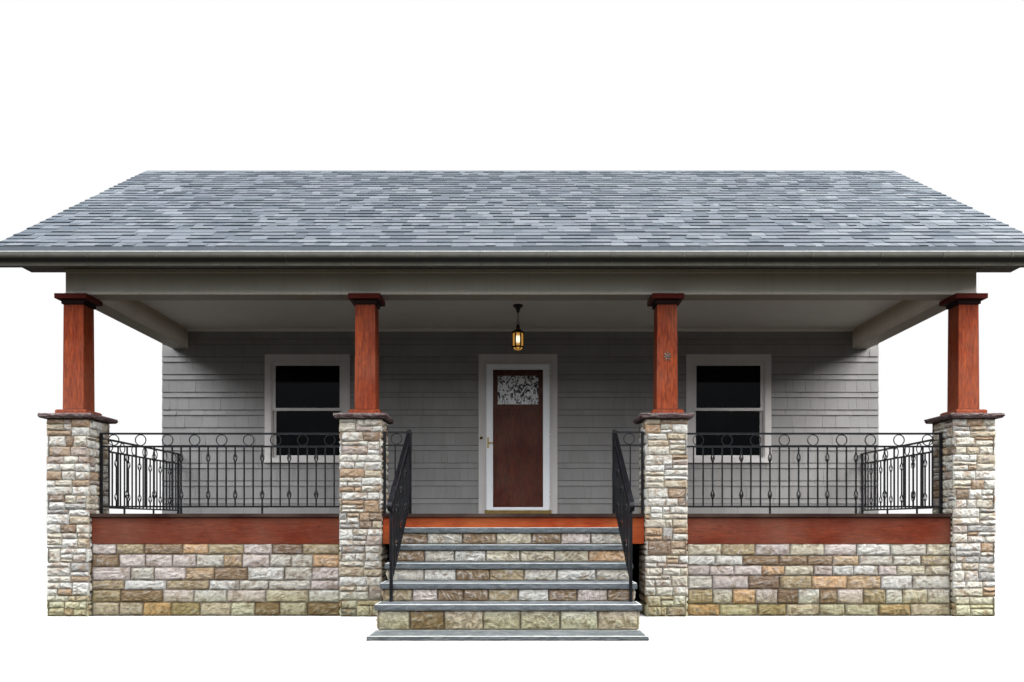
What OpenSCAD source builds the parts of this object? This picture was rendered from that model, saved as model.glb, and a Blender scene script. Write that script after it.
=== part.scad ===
// Front porch of a shingled house, from the ground to the roof over it.
// The porch deck runs the full width of the front wall, which closes it at the back.
// X runs to the right as seen from the street, Y runs from the street into the house, Z is up.
// The origin lies on the ground, in the middle of the width and of the depth.

/* [Levels] */
// Height of the porch deck above the ground
deck_top = 1095; // [1000:5:1200]
// Thickness of the slab at the foot of the stair
base_slab_h = 40; // [20:5:80]
// Height of the uppermost step, from the first tread to the deck
top_rise = 145; // [130:5:180]
// Height of each step between treads
step_rise = 170; // [150:2:180]
// Underside of the beams above the deck
beam_bottom = 2361; // [2250:1:2500]
// Height of the beams
beam_h = 274; // [200:1:320]

/* [Plan] */
// Half of the width across the outer faces of the end piers
porch_half = 5057; // [4600:1:5400]
// Depth from the front of the piers to the face of the house wall
porch_depth = 2800; // [2500:10:3200]
// Thickness of the house wall
wall_t = 200; // [150:5:260]
// Distance of the inner piers' centres from their own middle
inner_pier_x = 1628; // [1560:1:1900]
// Distance to the left of the porch's middle at which the door, the lantern and the windows' middle lie
front_shift = 33; // [0:1:60]
// Distance to the left of the porch's middle at which the inner piers' middle lies
entry_shift = 81; // [0:1:110]
// How far the two inner columns stand to the right of the middle of their piers
inner_column_shift = 28; // [0:1:60]
// Reach of the base slab in front of the piers
front_reach = 1750; // [1650:10:2100]

/* [Piers and columns] */
// Width of a square stone pier
pier_w = 463; // [420:1:520]
// Width of the square cap on a pier
cap_w = 575; // [540:1:620]
// Thickness of a pier cap
cap_h = 50; // [35:1:70]
// Top of the pier caps above the deck
cap_top = 1065; // [950:5:1150]
// Width of a column at its foot
column_foot_w = 226; // [200:1:280]
// Width of a column at its head
column_head_w = 214; // [190:1:270]
// Width of the trim round the foot of a column
base_trim_w = 332; // [300:1:380]
// Height of the trim round the foot of a column
base_trim_h = 55; // [30:1:70]
// Width of the top slab of a capital
capital_w = 342; // [300:1:380]
// Height of a capital
capital_h = 98; // [80:1:150]

/* [Stair] */
// Number of treads below the deck
tread_n = 5; // [5:1:5]
// Depth from one nosing to the next
step_run = 280; // [260:2:300]
// Half of the width of the treads
tread_half = 1195; // [1150:5:1240]
// Distance to the left of the porch's middle at which the steps' middle lies
stair_shift = 121; // [40:1:140]
// Thickness of a tread
tread_h = 55; // [40:1:70]
// Reach of a tread beyond the riser under it
nosing = 35; // [20:1:50]

/* [Deck] */
// Distance of the deck's edge behind the front of the piers
deck_set_back = 30; // [20:1:60]
// Thickness of the deck boards
deck_h = 34; // [25:1:45]
// Height of the skirt boards under the deck
skirt_h = 287; // [200:1:320]
// Thickness of the skirt boards
skirt_t = 40; // [30:1:60]
// Thickness of the foundation walls
foundation_t = 250; // [200:5:300]

/* [Railings] */
// Top of the railings above the deck
rail_top = 885; // [800:5:950]
// Underside of the bottom rail above the deck
rail_foot = 70; // [50:1:90]
// Height of each horizontal rail
rail_h = 19; // [10:1:24]
// Depth of the top rail
rail_d = 34; // [25:1:45]
// Gap between the top rail and the rail under it, which the rings fill
ring_gap = 121; // [100:1:150]
// Width of a baluster
baluster_w = 14; // [10:1:18]
// Distance between balusters
baluster_pitch = 100; // [88:1:112]
// Width of a railing post at a pier or a wall
post_w = 26; // [20:1:40]
// Width of the newel beside the stair
newel_w = 50; // [36:1:60]
// How much less than the treads' half width the stair railings' half distance is
rail_inset = 90; // [60:1:110]
// Distance to the left of the porch's middle at which the stair railings' middle lies
stair_rail_shift = 98; // [60:1:120]
// Largest radius of a basket on a baluster
basket_r = 25; // [18:1:28]
// Thickness of the wires of a basket
basket_wire = 7; // [4:0.5:8]
// Height of the lower baskets above the deck
basket_low = 210; // [180:5:260]
// Height of the upper baskets above the deck
basket_high = 612; // [520:1:640]
// Height of a basket
basket_h = 100; // [70:1:110]

/* [Roof] */
// Rise of the roof over a run of one
roof_slope = 0.667; // [0.5:0.001:0.75]
// Reach of the roof's lower edge in front of the piers
eave_reach = 400; // [350:5:500]
// Height of the roof's surface at its lower edge above the deck
eave_top = 2700; // [2690:5:2720]
// Thickness of the roof, measured plumb
roof_t = 54; // [40:1:60]
// Reach of the roof beyond the outer faces of the end piers
rake_reach = 310; // [250:5:450]
// Height of the gutter
gutter_h = 120; // [100:1:150]
// Width of the gutter, from back to front
gutter_w = 125; // [100:1:150]
// Width of the gutter's foot, behind its curved front
gutter_foot_w = 62; // [50:1:80]
// Top of the gutter above the deck
gutter_top = 2615; // [2600:1:2620]
// Height of the rake boards, measured plumb
rake_h = 150; // [120:1:200]
// Thickness of the fascia and of the rake boards
board_t = 25; // [20:1:35]
// Thickness of the ceiling and soffit boards
lining_t = 15; // [10:1:20]

/* [Door] */
// Half of the width of the doorway in the wall
doorway_half = 470; // [455:1:485]
// Top of the doorway above the deck
doorway_top = 2161; // [2120:1:2200]
// Height of the door sill above the deck
sill_h = 82; // [60:1:100]
// Width of the casing beside the doorway
casing_w = 85; // [70:1:120]
// Thickness of the casing boards on the wall
casing_t = 28; // [20:1:40]
// Width of the thinner strip along the inner edge of each casing
stop_w = 20; // [14:1:30]
// How far that strip lies behind the face of the casing
stop_sink = 12; // [6:1:16]
// Width of the metal frame round the storm door
storm_frame_w = 18; // [15:1:25]
// Width of the storm door's rims beside its glass
storm_stile_w = 93; // [70:1:100]
// Thickness of the storm door
storm_t = 32; // [28:1:40]
// Gap round each door
door_gap = 6; // [5:0.5:8]
// Thickness of the wooden jambs
jamb_t = 24; // [20:1:30]
// Thickness of the front door
front_door_t = 45; // [40:1:50]
// Depth of the front door behind the face of the wall
front_door_inset = 90; // [80:1:95]
// Radius of a hinge knuckle
knuckle_r = 5.5; // [5:0.1:6]

/* [Windows] */
// Distance of the windows' centres from the middle
window_x = 2970; // [2800:5:3200]
// Width of a window opening
window_w = 985; // [900:5:1050]
// Lower edge of a window opening above the deck
window_sill = 819; // [780:1:900]
// Upper edge of a window opening above the deck
window_top = 2162; // [2100:1:2200]
// Width of the frame of a sash
sash_w = 40; // [30:1:60]
// Thickness of a sash
sash_t = 35; // [30:1:40]
// Height of the rail where the two sashes meet, above the deck
meeting_rail = 1505; // [1450:5:1550]
// Width of the casing round a window
window_casing_w = 107; // [80:1:120]

/* [Lantern] */
// Depth of the lantern behind the front of the piers
lantern_y = 1540; // [1200:10:1800]
// Full drop of the lantern below the ceiling
lantern_drop = 565; // [540:1:650]
// Radius of the lantern's glass
lantern_glass_r = 70; // [60:1:90]
// Height of the lantern's glass
lantern_glass_h = 164; // [120:1:180]

/* [Hidden] */
$fn = 48;
fit = 0.3;
roof_half = porch_half + rake_reach;
front_y = (front_reach - porch_depth - wall_t) / 2;
wall_y = front_y + porch_depth;
back_y = wall_y + wall_t;
pier_y = front_y + pier_w / 2;
end_pier_x = porch_half - pier_w / 2;
bay_end = end_pier_x - pier_w / 2;
pier_xs = [-end_pier_x, -inner_pier_x - entry_shift, inner_pier_x - entry_shift, end_pier_x];
column_xs = pier_xs + inner_column_shift * [0, 1, 1, 0];
deck_y = front_y + deck_set_back;
skirt_y = deck_y + 30;
foundation_y = skirt_y + 10;
foundation_h = deck_top - deck_h - skirt_h;
cap_z = deck_top + cap_top;
beam_z = deck_top + beam_bottom;
ceiling_z = beam_z + beam_h;
beam_w = 220;
beam_end_x = end_pier_x + 82;
fascia_set_back = 25;
fascia_overlap = 25;
window_sill_top = 28;
window_sill_foot = 68;
window_sill_nose = 22;
upper_sash_y = wall_y - 10;
gutter_lip_h = 28;
lantern_bowl_h = 44;
eave_y = front_y - eave_reach;
fascia_y = eave_y + fascia_set_back;
lining_z = ceiling_z + lining_t;
door_axis_gap = 0.2;
hinge_off = 6;
pin_r = 3;
storm_half = doorway_half - storm_frame_w - door_gap;
storm_y = wall_y - storm_t - 2;
storm_z = deck_top + sill_h + door_gap;
storm_h = doorway_top - storm_frame_w - sill_h - 2 * door_gap;
jamb_face = doorway_half - jamb_t;
front_door_half = jamb_face - door_gap;
front_door_y = wall_y + front_door_inset;
front_door_z = deck_top + sill_h + door_gap;
front_door_h = doorway_top - jamb_t - sill_h - 2 * door_gap;
hinge_zs = [260, 1110, 1960];
storm_lever_z = 1031;
knob_z = 990;
storm_foot_rail = 36;
storm_head_rail = 74;
pane_t = 6;
head_casing_h = 120;
rail_post_w = 30;
post_foot_y = deck_y - (tread_n - 1) * step_run - rail_post_w / 2 - 10;
newel_y = deck_y + 70;
foot_bar_gap = 75;
curl_r = 46;
handrail_h = 17;
handrail_w = 42;
curl_reach = 90;
stair_slope = step_rise / step_run;
wood = "#a8522c";
trim = "#857f76";
iron = "#23252a";

// Height of the roof's surface, of its underside and of the boards just under it, at a depth
function roof_surface(y) = deck_top + eave_top + roof_slope * (y - front_y + eave_reach);
function roof_under(y) = roof_surface(y) - roof_t;
function roof_seat(y) = roof_under(y) - fit;
// Front edge and top of each tread, counted down from the deck
function tread_front(k) = deck_y - k * step_run;
function tread_top(k) = deck_top - top_rise - (k - 1) * step_rise;
// Number of gaps between the balusters of a panel, in threes, so that each third baluster has the baskets
function gaps(len) = 3 * round(len / baluster_pitch / 3);
// Faces of an inner pier, the one that looks outwards and the one that looks to the steps
function outer_face(side) = side * (inner_pier_x + pier_w / 2) - entry_shift;
function inner_face(side) = side * (inner_pier_x - pier_w / 2) - entry_shift;
// Middle of a stair railing
function stair_rail_x(side) = side * (tread_half - rail_inset) - stair_rail_shift;
// Height of the sloping handrail's top at a depth
function handrail_z(y) = deck_top + rail_top - stair_slope * (newel_y - y);

// A box from one corner to the opposite one
module box(from, to) {
    translate(from) cube(to - from);
}

// A pair of like pieces, one on each side of the middle
module both_sides() {
    children();
    mirror([1, 0, 0]) children();
}

// A plate whose outline is drawn in depth and height, from x0 along X
module side_plate(x0, width) {
    translate([x0, 0, 0]) rotate([90, 0, 90]) linear_extrude(width) children();
}

// Stone work
module stair_core() {
    side = tread_half - nosing;
    color("#b09a7c") translate([-stair_shift, 0, 0]) union() {
        for (k = [1:tread_n]) {
            box([-side, tread_front(k) + nosing, 0], [side, skirt_y, tread_top(k) - tread_h]);
        }
    }
}

// The treads, with the slab on the ground that the lowest riser rises from
module stair_treads() {
    color("#8b949a") translate([-stair_shift, 0, 0]) {
        for (k = [1:tread_n]) {
            back = k == 1 ? skirt_y : tread_front(k - 1) + nosing;
            box([-tread_half, tread_front(k), tread_top(k) - tread_h], [tread_half, back, tread_top(k)]);
        }
        box([-tread_half, front_y - front_reach, 0], [tread_half, tread_front(tread_n) + nosing, base_slab_h]);
    }
}

module foundation_front() {
    color("#9c8f7d") for (side = [-1, 1]) {
        box([min(side * bay_end, outer_face(side)), foundation_y, 0],
            [max(side * bay_end, outer_face(side)), foundation_y + foundation_t, foundation_h]);
    }
}

module foundation_sides() {
    outer = porch_half - foundation_y + front_y;
    color("#9c8f7d") both_sides() {
        box([outer - foundation_t, front_y + pier_w, 0], [outer, wall_y, foundation_h]);
    }
}

module pier(x) {
    color("#c3b69c") box([x - pier_w / 2, front_y, 0], [x + pier_w / 2, front_y + pier_w, cap_z - cap_h]);
}

// A cap has its upper edges broken, as chiselled stone has
module pier_cap(x) {
    edge = 12;
    translate([x, pier_y, cap_z - cap_h]) hull() {
        translate([-cap_w / 2, -cap_w / 2, 0]) cube([cap_w, cap_w, cap_h - edge]);
        translate([-cap_w / 2 + edge, -cap_w / 2 + edge, 0]) cube([cap_w - 2 * edge, cap_w - 2 * edge, cap_h]);
    }
}

module pier_caps() {
    color("#6e5650") for (x = pier_xs) pier_cap(x);
}

// Deck
module deck_floor() {
    edge_x = porch_half - deck_set_back;
    color("#6b3427") difference() {
        box([-edge_x, deck_y, deck_top - deck_h], [edge_x, wall_y, deck_top]);
        for (x = pier_xs) {
            box([x - pier_w / 2, front_y - 1, deck_top - deck_h - 1],
                [x + pier_w / 2, front_y + pier_w, deck_top + 1]);
        }
    }
}

module skirt_boards() {
    z0 = deck_top - deck_h - skirt_h;
    z1 = deck_top - deck_h;
    outer = porch_half - skirt_y + front_y;
    color(wood) {
        both_sides() box([outer - skirt_t, front_y + pier_w, z0], [outer, wall_y, z1]);
        for (side = [-1, 1]) {
            box([min(side * bay_end, outer_face(side)), skirt_y, z0],
                [max(side * bay_end, outer_face(side)), skirt_y + skirt_t, z1]);
        }
        box([inner_face(-1), skirt_y, z0], [inner_face(1), skirt_y + skirt_t, z1]);
    }
}

// Columns
module square_slab(w, z0, z1) {
    translate([-w / 2, -w / 2, z0]) cube([w, w, z1 - z0]);
}

// A slab whose four sides slope from one width to another
module tapered_slab(w0, w1, z0, z1) {
    translate([0, 0, z0]) linear_extrude(z1 - z0, scale = w1 / w0) square(w0, center = true);
}

module column(x) {
    head_z = beam_bottom - capital_h;
    neck_w = column_head_w + 32;
    neck_h = 0.38 * capital_h;
    bed_h = 0.1 * capital_h;
    bevel = 12;
    color(wood) translate([x, pier_y, deck_top]) union() {
        square_slab(base_trim_w, cap_top, cap_top + base_trim_h - bevel);
        tapered_slab(base_trim_w, base_trim_w - 2 * bevel, cap_top + base_trim_h - bevel, cap_top + base_trim_h);
        tapered_slab(column_foot_w, column_head_w, cap_top + base_trim_h, head_z);
        square_slab(neck_w, head_z, head_z + neck_h);
        tapered_slab(neck_w, capital_w - 2 * bevel, head_z + neck_h, head_z + neck_h + bed_h);
        square_slab(capital_w, head_z + neck_h + bed_h, beam_bottom);
    }
}

// Beams and lining
module front_beam() {
    bead = 10;
    color(trim) side_plate(-beam_end_x, 2 * beam_end_x) polygon([
        [pier_y - beam_w / 2, beam_z + 26], [pier_y - beam_w / 2 - bead, beam_z + 22],
        [pier_y - beam_w / 2 - bead, beam_z], [pier_y + beam_w / 2, beam_z],
        [pier_y + beam_w / 2, ceiling_z], [pier_y - beam_w / 2 - bead, ceiling_z],
        [pier_y - beam_w / 2 - bead, ceiling_z - 34], [pier_y - beam_w / 2, ceiling_z - 40]]);
}

module side_beams() {
    color(trim) both_sides() {
        box([beam_end_x - beam_w, pier_y + beam_w / 2, beam_z], [beam_end_x, wall_y, ceiling_z]);
    }
}

module ceiling() {
    color("#8d867b") box([-beam_end_x, pier_y, ceiling_z], [beam_end_x, wall_y, lining_z]);
}

module soffit() {
    end_x = roof_half - board_t;
    color(trim) box([-end_x, fascia_y + board_t, ceiling_z], [end_x, pier_y, lining_z]);
}

// The fascia carries the gutter, and its top is cut to the slope of the roof
module fascia() {
    end_x = roof_half - board_t;
    foot = deck_top + gutter_top - gutter_h + fascia_overlap;
    color(trim) side_plate(-end_x, 2 * end_x) polygon([
        [fascia_y, foot], [fascia_y + board_t, foot], [fascia_y + board_t, roof_seat(fascia_y + board_t)],
        [fascia_y, roof_seat(fascia_y)]]);
}

// Outline of the gutter: an upright lip, then a front that curves in to the foot. With a skin, it is the hollow inside
module gutter_outline(skin) {
    w = gutter_w - skin;
    lip_z = gutter_h - gutter_lip_h;
    top = skin > 0 ? gutter_h + 1 : gutter_h;
    reach = w - gutter_foot_w + skin;
    slant = 0.4 * skin;
    polygon(concat(
        [[-skin, skin], [-skin, top], [-w, top]],
        [for (t = [0:0.1:1]) [-w + reach * t * t * (3 - 2 * t) + slant, skin + (lip_z - skin) * (1 - t)]]));
}

module gutter() {
    skin = 4;
    color("#544f49") translate([0, fascia_y, deck_top + gutter_top - gutter_h]) difference() {
        side_plate(-roof_half, 2 * roof_half) gutter_outline(0);
        side_plate(-roof_half + skin, 2 * (roof_half - skin)) gutter_outline(skin);
    }
}

// Roof
module roof() {
    y0 = eave_y;
    color("#7d858c") side_plate(-roof_half, 2 * roof_half) polygon([
        [y0, roof_under(y0)], [back_y, roof_under(back_y)], [back_y, roof_surface(back_y)],
        [y0, roof_surface(y0)]]);
}

module gable_infills() {
    y0 = fascia_y + board_t;
    color("#8f8b84") both_sides() {
        side_plate(beam_end_x - 100, 100) polygon([
            [y0, lining_z], [wall_y, lining_z], [wall_y, roof_under(wall_y)], [y0, roof_under(y0)]]);
    }
}

module rake_boards() {
    color(trim) both_sides() {
        side_plate(roof_half - board_t, board_t) polygon([
            [fascia_y, roof_under(fascia_y) - rake_h], [back_y, roof_under(back_y) - rake_h],
            [back_y, roof_seat(back_y)], [fascia_y, roof_seat(fascia_y)]]);
    }
}

// House wall
module wall_profile(z0) {
    polygon([[wall_y, z0], [back_y, z0], [back_y, roof_under(back_y)], [wall_y, roof_under(wall_y)]]);
}

module wall_base() {
    color("#9c8f7d") box([-porch_half, wall_y, 0], [porch_half, back_y, deck_top]);
}

module wall_side(side) {
    x0 = side > 0 ? doorway_half - front_shift : -porch_half;
    middle = side * window_x - front_shift;
    color("#8f8b84") difference() {
        side_plate(x0, porch_half - doorway_half + side * front_shift) wall_profile(deck_top);
        box([middle - window_w / 2, wall_y - 1, deck_top + window_sill],
            [middle + window_w / 2, back_y + 1, deck_top + window_top]);
    }
}

module wall_over_door() {
    color("#8f8b84")
        side_plate(-doorway_half - front_shift, 2 * doorway_half) wall_profile(deck_top + doorway_top);
}

// Windows, each with a casing, a sill and two sashes, of which the upper one stands in front
module sash(x, y, z0, z1) {
    difference() {
        box([x - window_w / 2, y, z0], [x + window_w / 2, y + sash_t, z1]);
        box([x - window_w / 2 + sash_w, y - 1, z0 + sash_w], [x + window_w / 2 - sash_w, y + sash_t + 1, z1 - sash_w]);
    }
}

module window(x) {
    z0 = deck_top + window_sill;
    z1 = deck_top + window_top;
    mid = deck_top + meeting_rail;
    out = window_w / 2 + window_casing_w;
    color(trim) union() {
        difference() {
            box([x - out, wall_y - casing_t, z0 - window_sill_top], [x + out, wall_y, z1 + window_casing_w + 10]);
            box([x - window_w / 2, wall_y - casing_t - 1, z0 - window_sill_top - 1], [x + window_w / 2, wall_y + 1, z1]);
            box([x - window_w / 2 - stop_w, wall_y - casing_t - 1, z0 - window_sill_top - 1],
                [x + window_w / 2 + stop_w, wall_y - casing_t + stop_sink, z1 + stop_w]);
        }
        box([x - out, wall_y - casing_t - window_sill_nose, z0 - window_sill_foot], [x + out, wall_y, z0 - window_sill_top]);
        box([x - window_w / 2, wall_y - casing_t - window_sill_nose, z0 - window_sill_foot], [x + window_w / 2, wall_y, z0]);
        sash(x, upper_sash_y, mid - sash_w / 2, z1);
        sash(x, upper_sash_y + sash_t, z0, mid + sash_w / 2);
    }
}

module window_glass() {
    glass_t = 5;
    mid = deck_top + meeting_rail;
    color("#15181b") translate([-front_shift, 0, 0]) both_sides() {
        box([window_x - window_w / 2 + sash_w, upper_sash_y + (sash_t - glass_t) / 2, mid + sash_w / 2],
            [window_x + window_w / 2 - sash_w, upper_sash_y + (sash_t + glass_t) / 2, deck_top + window_top - sash_w]);
        box([window_x - window_w / 2 + sash_w, upper_sash_y + sash_t + (sash_t - glass_t) / 2,
             deck_top + window_sill + sash_w],
            [window_x + window_w / 2 - sash_w, upper_sash_y + sash_t + (sash_t + glass_t) / 2, mid - sash_w / 2]);
    }
}

// Hinges: the fixed half has a knuckle at each end and the pin, the moving half has the middle one
knuckle_h = 30;
module hinge_fixed(x, y, z) {
    translate([x, y, z]) {
        cylinder(r = pin_r, h = 3 * knuckle_h);
        cylinder(r = knuckle_r, h = knuckle_h);
        translate([0, 0, 2 * knuckle_h]) cylinder(r = knuckle_r, h = knuckle_h);
    }
}

module hinge_moving(x, y, z) {
    translate([x, y, z + knuckle_h + fit]) cylinder(r = knuckle_r, h = knuckle_h - 2 * fit);
}

module pin_holes(x, y) {
    for (z = hinge_zs) translate([x, y, deck_top + z]) cylinder(r = pin_r + fit, h = 3 * knuckle_h);
}

storm_pin = [storm_half + door_axis_gap, storm_y - hinge_off];
front_pin = [front_door_half + door_axis_gap, front_door_y + front_door_t + hinge_off];

module door_frame() {
    z0 = deck_top;
    head = deck_top + doorway_top;
    out = doorway_half + casing_w;
    color(trim) translate([-front_shift, 0, 0]) union() {
        difference() {
            box([-out, wall_y - casing_t, z0], [out, wall_y, head + head_casing_h]);
            box([-doorway_half, wall_y - casing_t - 1, z0 - 1], [doorway_half, wall_y + 1, head]);
            box([-doorway_half - stop_w, wall_y - casing_t - 1, z0 - 1],
                [doorway_half + stop_w, wall_y - casing_t + stop_sink, head + stop_w]);
        }
        difference() {
            box([-doorway_half, wall_y, z0 + sill_h], [doorway_half, back_y, head]);
            box([-jamb_face, wall_y - 1, z0], [jamb_face, back_y + 1, head - jamb_t]);
        }
        difference() {
            box([-jamb_face, front_door_y - door_gap - 30, z0 + sill_h], [jamb_face, front_door_y - door_gap, head - jamb_t]);
            box([-jamb_face + 16, wall_y, z0], [jamb_face - 16, back_y, head - jamb_t - 16]);
        }
        difference() {
            box([-doorway_half, storm_y, z0 + sill_h], [doorway_half, wall_y, head]);
            box([-doorway_half + storm_frame_w, storm_y - 1, z0],
                [doorway_half - storm_frame_w, wall_y + 1, head - storm_frame_w]);
        }
        for (z = hinge_zs) {
            hinge_fixed(storm_pin.x, storm_pin.y, deck_top + z);
            hinge_fixed(front_pin.x, front_pin.y, deck_top + z);
            for (dz = [0, 2 * knuckle_h]) {
                box([storm_pin.x, storm_y - 3, deck_top + z + dz], [doorway_half, storm_y, deck_top + z + dz + knuckle_h]);
                box([storm_pin.x, storm_pin.y, deck_top + z + dz],
                     [storm_pin.x + 4, storm_y, deck_top + z + dz + knuckle_h]);
                box([front_pin.x, front_pin.y, deck_top + z + dz],
                     [jamb_face, front_pin.y + 30, deck_top + z + dz + knuckle_h]);
            }
        }
    }
}

module door_sill() {
    color("#a89468") side_plate(-doorway_half - front_shift, 2 * doorway_half) polygon([
        [storm_y - 30, deck_top], [back_y, deck_top], [back_y, deck_top + sill_h],
        [storm_y - 10, deck_top + sill_h], [storm_y - 30, deck_top + sill_h - 12]]);
}

// A lever handle with its plate, on a face that looks to the front or to the back
module lever(x, y, z, way) {
    translate([x, y, z]) {
        translate([-12, way > 0 ? 0 : -8, -75]) cube([24, 8, 150]);
        rotate([way > 0 ? -90 : 90, 0, 0]) cylinder(r = 7, h = 36);
        translate([-7, way > 0 ? 28 : -36, -7]) cube([78, 8, 14]);
    }
}

module storm_door() {
    w = storm_half;
    color("#d8dce0") translate([-front_shift, 0, 0]) difference() {
        union() {
            difference() {
                box([-w, storm_y, storm_z], [w, storm_y + storm_t, storm_z + storm_h]);
                box([-w + storm_stile_w, storm_y - 1, storm_z + storm_foot_rail],
                    [w - storm_stile_w, storm_y + storm_t + 1, storm_z + storm_h - storm_head_rail]);
            }
            lever(-w + 24, storm_y, deck_top + storm_lever_z, -1);
            for (z = hinge_zs) {
                hinge_moving(storm_pin.x, storm_pin.y, deck_top + z);
                box([storm_pin.x - 30, storm_y - 3, deck_top + z + knuckle_h + fit],
                     [storm_pin.x - 0.5, storm_y, deck_top + z + 2 * knuckle_h - fit]);
                box([storm_pin.x - knuckle_r, storm_pin.y, deck_top + z + knuckle_h + fit],
                     [storm_pin.x - knuckle_r + 3, storm_y, deck_top + z + 2 * knuckle_h - fit]);
            }
        }
        pin_holes(storm_pin.x, storm_pin.y);
    }
}

module storm_door_glass() {
    w = storm_half - storm_stile_w;
    y0 = storm_y + (storm_t - pane_t) / 2;
    color("#20262a") translate([-front_shift, 0, 0])
        box([-w, y0, storm_z + storm_foot_rail], [w, y0 + pane_t, storm_z + storm_h - storm_head_rail]);
}

// The front door has a lite above, two sunk panels below it and a knob on each face
lite_low = 1590;
lite_high = 2000;
lite_half = 290;
panel_low = 330;
panel_high = 1480;
panel_sink = 10;
mullion_half = 30;
module knob() {
    cylinder(r = 26, h = 8);
    cylinder(r = 10, h = 30);
    translate([0, 0, 26]) cylinder(r = 26, h = 20);
}

module front_door() {
    w = front_door_half;
    y0 = front_door_y;
    y1 = front_door_y + front_door_t;
    color("#5a1f14") translate([-front_shift, 0, 0]) difference() {
        union() {
            difference() {
                box([-w, y0, front_door_z], [w, y1, front_door_z + front_door_h]);
                box([-lite_half, y0 - 1, deck_top + lite_low], [lite_half, y1 + 1, deck_top + lite_high]);
                both_sides() {
                    box([mullion_half, y0 - 1, deck_top + panel_low],
                        [lite_half, y0 + panel_sink, deck_top + panel_high]);
                }
            }
            translate([-w + 65, y0, deck_top + knob_z]) rotate([90, 0, 0]) knob();
            translate([-w + 65, y1, deck_top + knob_z]) rotate([-90, 0, 0]) knob();
            for (z = hinge_zs) {
                hinge_moving(front_pin.x, front_pin.y, deck_top + z);
                box([front_pin.x - 30, y1, deck_top + z + knuckle_h + fit],
                     [front_pin.x - 0.5, y1 + 3, deck_top + z + 2 * knuckle_h - fit]);
                box([front_pin.x - knuckle_r, y1, deck_top + z + knuckle_h + fit],
                     [front_pin.x - knuckle_r + 3, front_pin.y, deck_top + z + 2 * knuckle_h - fit]);
            }
        }
        pin_holes(front_pin.x, front_pin.y);
    }
}

module front_door_glass() {
    y0 = front_door_y + (front_door_t - pane_t) / 2;
    color("#20262a") translate([-front_shift, 0, 0])
        box([-lite_half, y0, deck_top + lite_low], [lite_half, y0 + pane_t, deck_top + lite_high]);
}

// Railings
// A basket on a baluster: four wires bowed out between two collars that take the square bar
module basket() {
    collar_r = baluster_w * 0.75;
    collar_h = 8;
    bow = basket_r - basket_wire / 2;
    half = basket_h / 2;
    arc_r = (half * half + bow * bow) / (2 * bow);
    arc = asin(half / arc_r);
    for (z = [-half, half - collar_h]) translate([0, 0, z]) cylinder(r = collar_r, h = collar_h, $fn = 24);
    for (a = [45:90:315]) rotate(a) translate([bow - arc_r, 0, 0]) rotate([90, 0, 0])
        rotate(-arc) rotate_extrude(angle = 2 * arc, $fn = 32) translate([arc_r, 0])
            circle(d = basket_wire, $fn = 16);
}

module ring() {
    rotate([90, 0, 0]) translate([0, 0, -5]) difference() {
        cylinder(r = ring_gap / 2 + 1, h = 10);
        translate([0, 0, -1]) cylinder(r = ring_gap / 2 - 7, h = 12);
    }
}

module square_bar(z0, z1) {
    translate([-baluster_w / 2, -baluster_w / 2, z0]) cube([baluster_w, baluster_w, z1 - z0]);
}

// A baluster with two baskets, where its square bar is left out
module basket_bar(z0, z1, low, high) {
    overlap = 5;
    half = basket_h / 2 - overlap;
    square_bar(z0, low - half);
    square_bar(low + half, high - half);
    square_bar(high + half, z1);
    for (z = [low, high]) translate([0, 0, z]) basket();
}

// A straight panel along X, drawn with the deck at height 0 and its first post at x = 0
module panel(len) {
    n = gaps(len);
    pitch = len / n;
    second = rail_top - rail_h - ring_gap;
    both_ends = [0, len - post_w];
    union() {
        for (x = both_ends) translate([x, -post_w / 2, 0]) cube([post_w, post_w, rail_top]);
        translate([0, -rail_d / 2, rail_top - rail_h]) cube([len, rail_d, rail_h]);
        translate([0, -post_w / 2, second - rail_h]) cube([len, post_w, rail_h]);
        translate([0, -post_w / 2, rail_foot]) cube([len, post_w, rail_h]);
        for (i = [1:n - 1]) {
            translate([i * pitch, 0, 0])
                if (i % 3 == 0) basket_bar(rail_foot + 5, second - 5, basket_low, basket_high);
                else square_bar(rail_foot + 5, second - 5);
        }
        for (i = [0:n / 3 - 1]) translate([(3 * i + 1.5) * pitch, 0, rail_top - rail_h - ring_gap / 2]) ring();
        for (i = [round(n / 3), n - round(n / 3)]) {
            translate([i * pitch - 9, -9, 0]) cube([18, 18, rail_foot + 5]);
        }
    }
}

// The short panel between an inner pier and the stair's newel
module short_panel(len) {
    second = rail_top - rail_h - ring_gap;
    union() {
        translate([len - post_w, -post_w / 2, 0]) cube([post_w, post_w, rail_top]);
        translate([0, -rail_d / 2, rail_top - rail_h]) cube([len, rail_d, rail_h]);
        translate([0, -post_w / 2, second - rail_h]) cube([len, post_w, rail_h]);
        translate([0, -post_w / 2, rail_foot]) cube([len, post_w, rail_h]);
        translate([len / 2, 0, 0]) square_bar(rail_foot + 5, second - 5);
        translate([len / 2 - post_w / 2, 0, rail_top - rail_h - ring_gap / 2]) ring();
    }
}

module railing_front(side) {
    newel_face = stair_rail_x(side) + side * newel_w / 2;
    flip = [side < 0 ? 1 : 0, 0, 0];
    color(iron) {
        translate([outer_face(side), pier_y, deck_top]) mirror(flip) panel(bay_end - side * outer_face(side));
        translate([newel_face, newel_y, deck_top]) mirror(flip) short_panel(side * (inner_face(side) - newel_face));
    }
}

module railing_side(side) {
    color(iron) mirror([side < 0 ? 1 : 0, 0, 0])
        translate([end_pier_x, front_y + pier_w, deck_top]) rotate([0, 0, 90])
            panel(porch_depth - pier_w);
}

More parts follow.
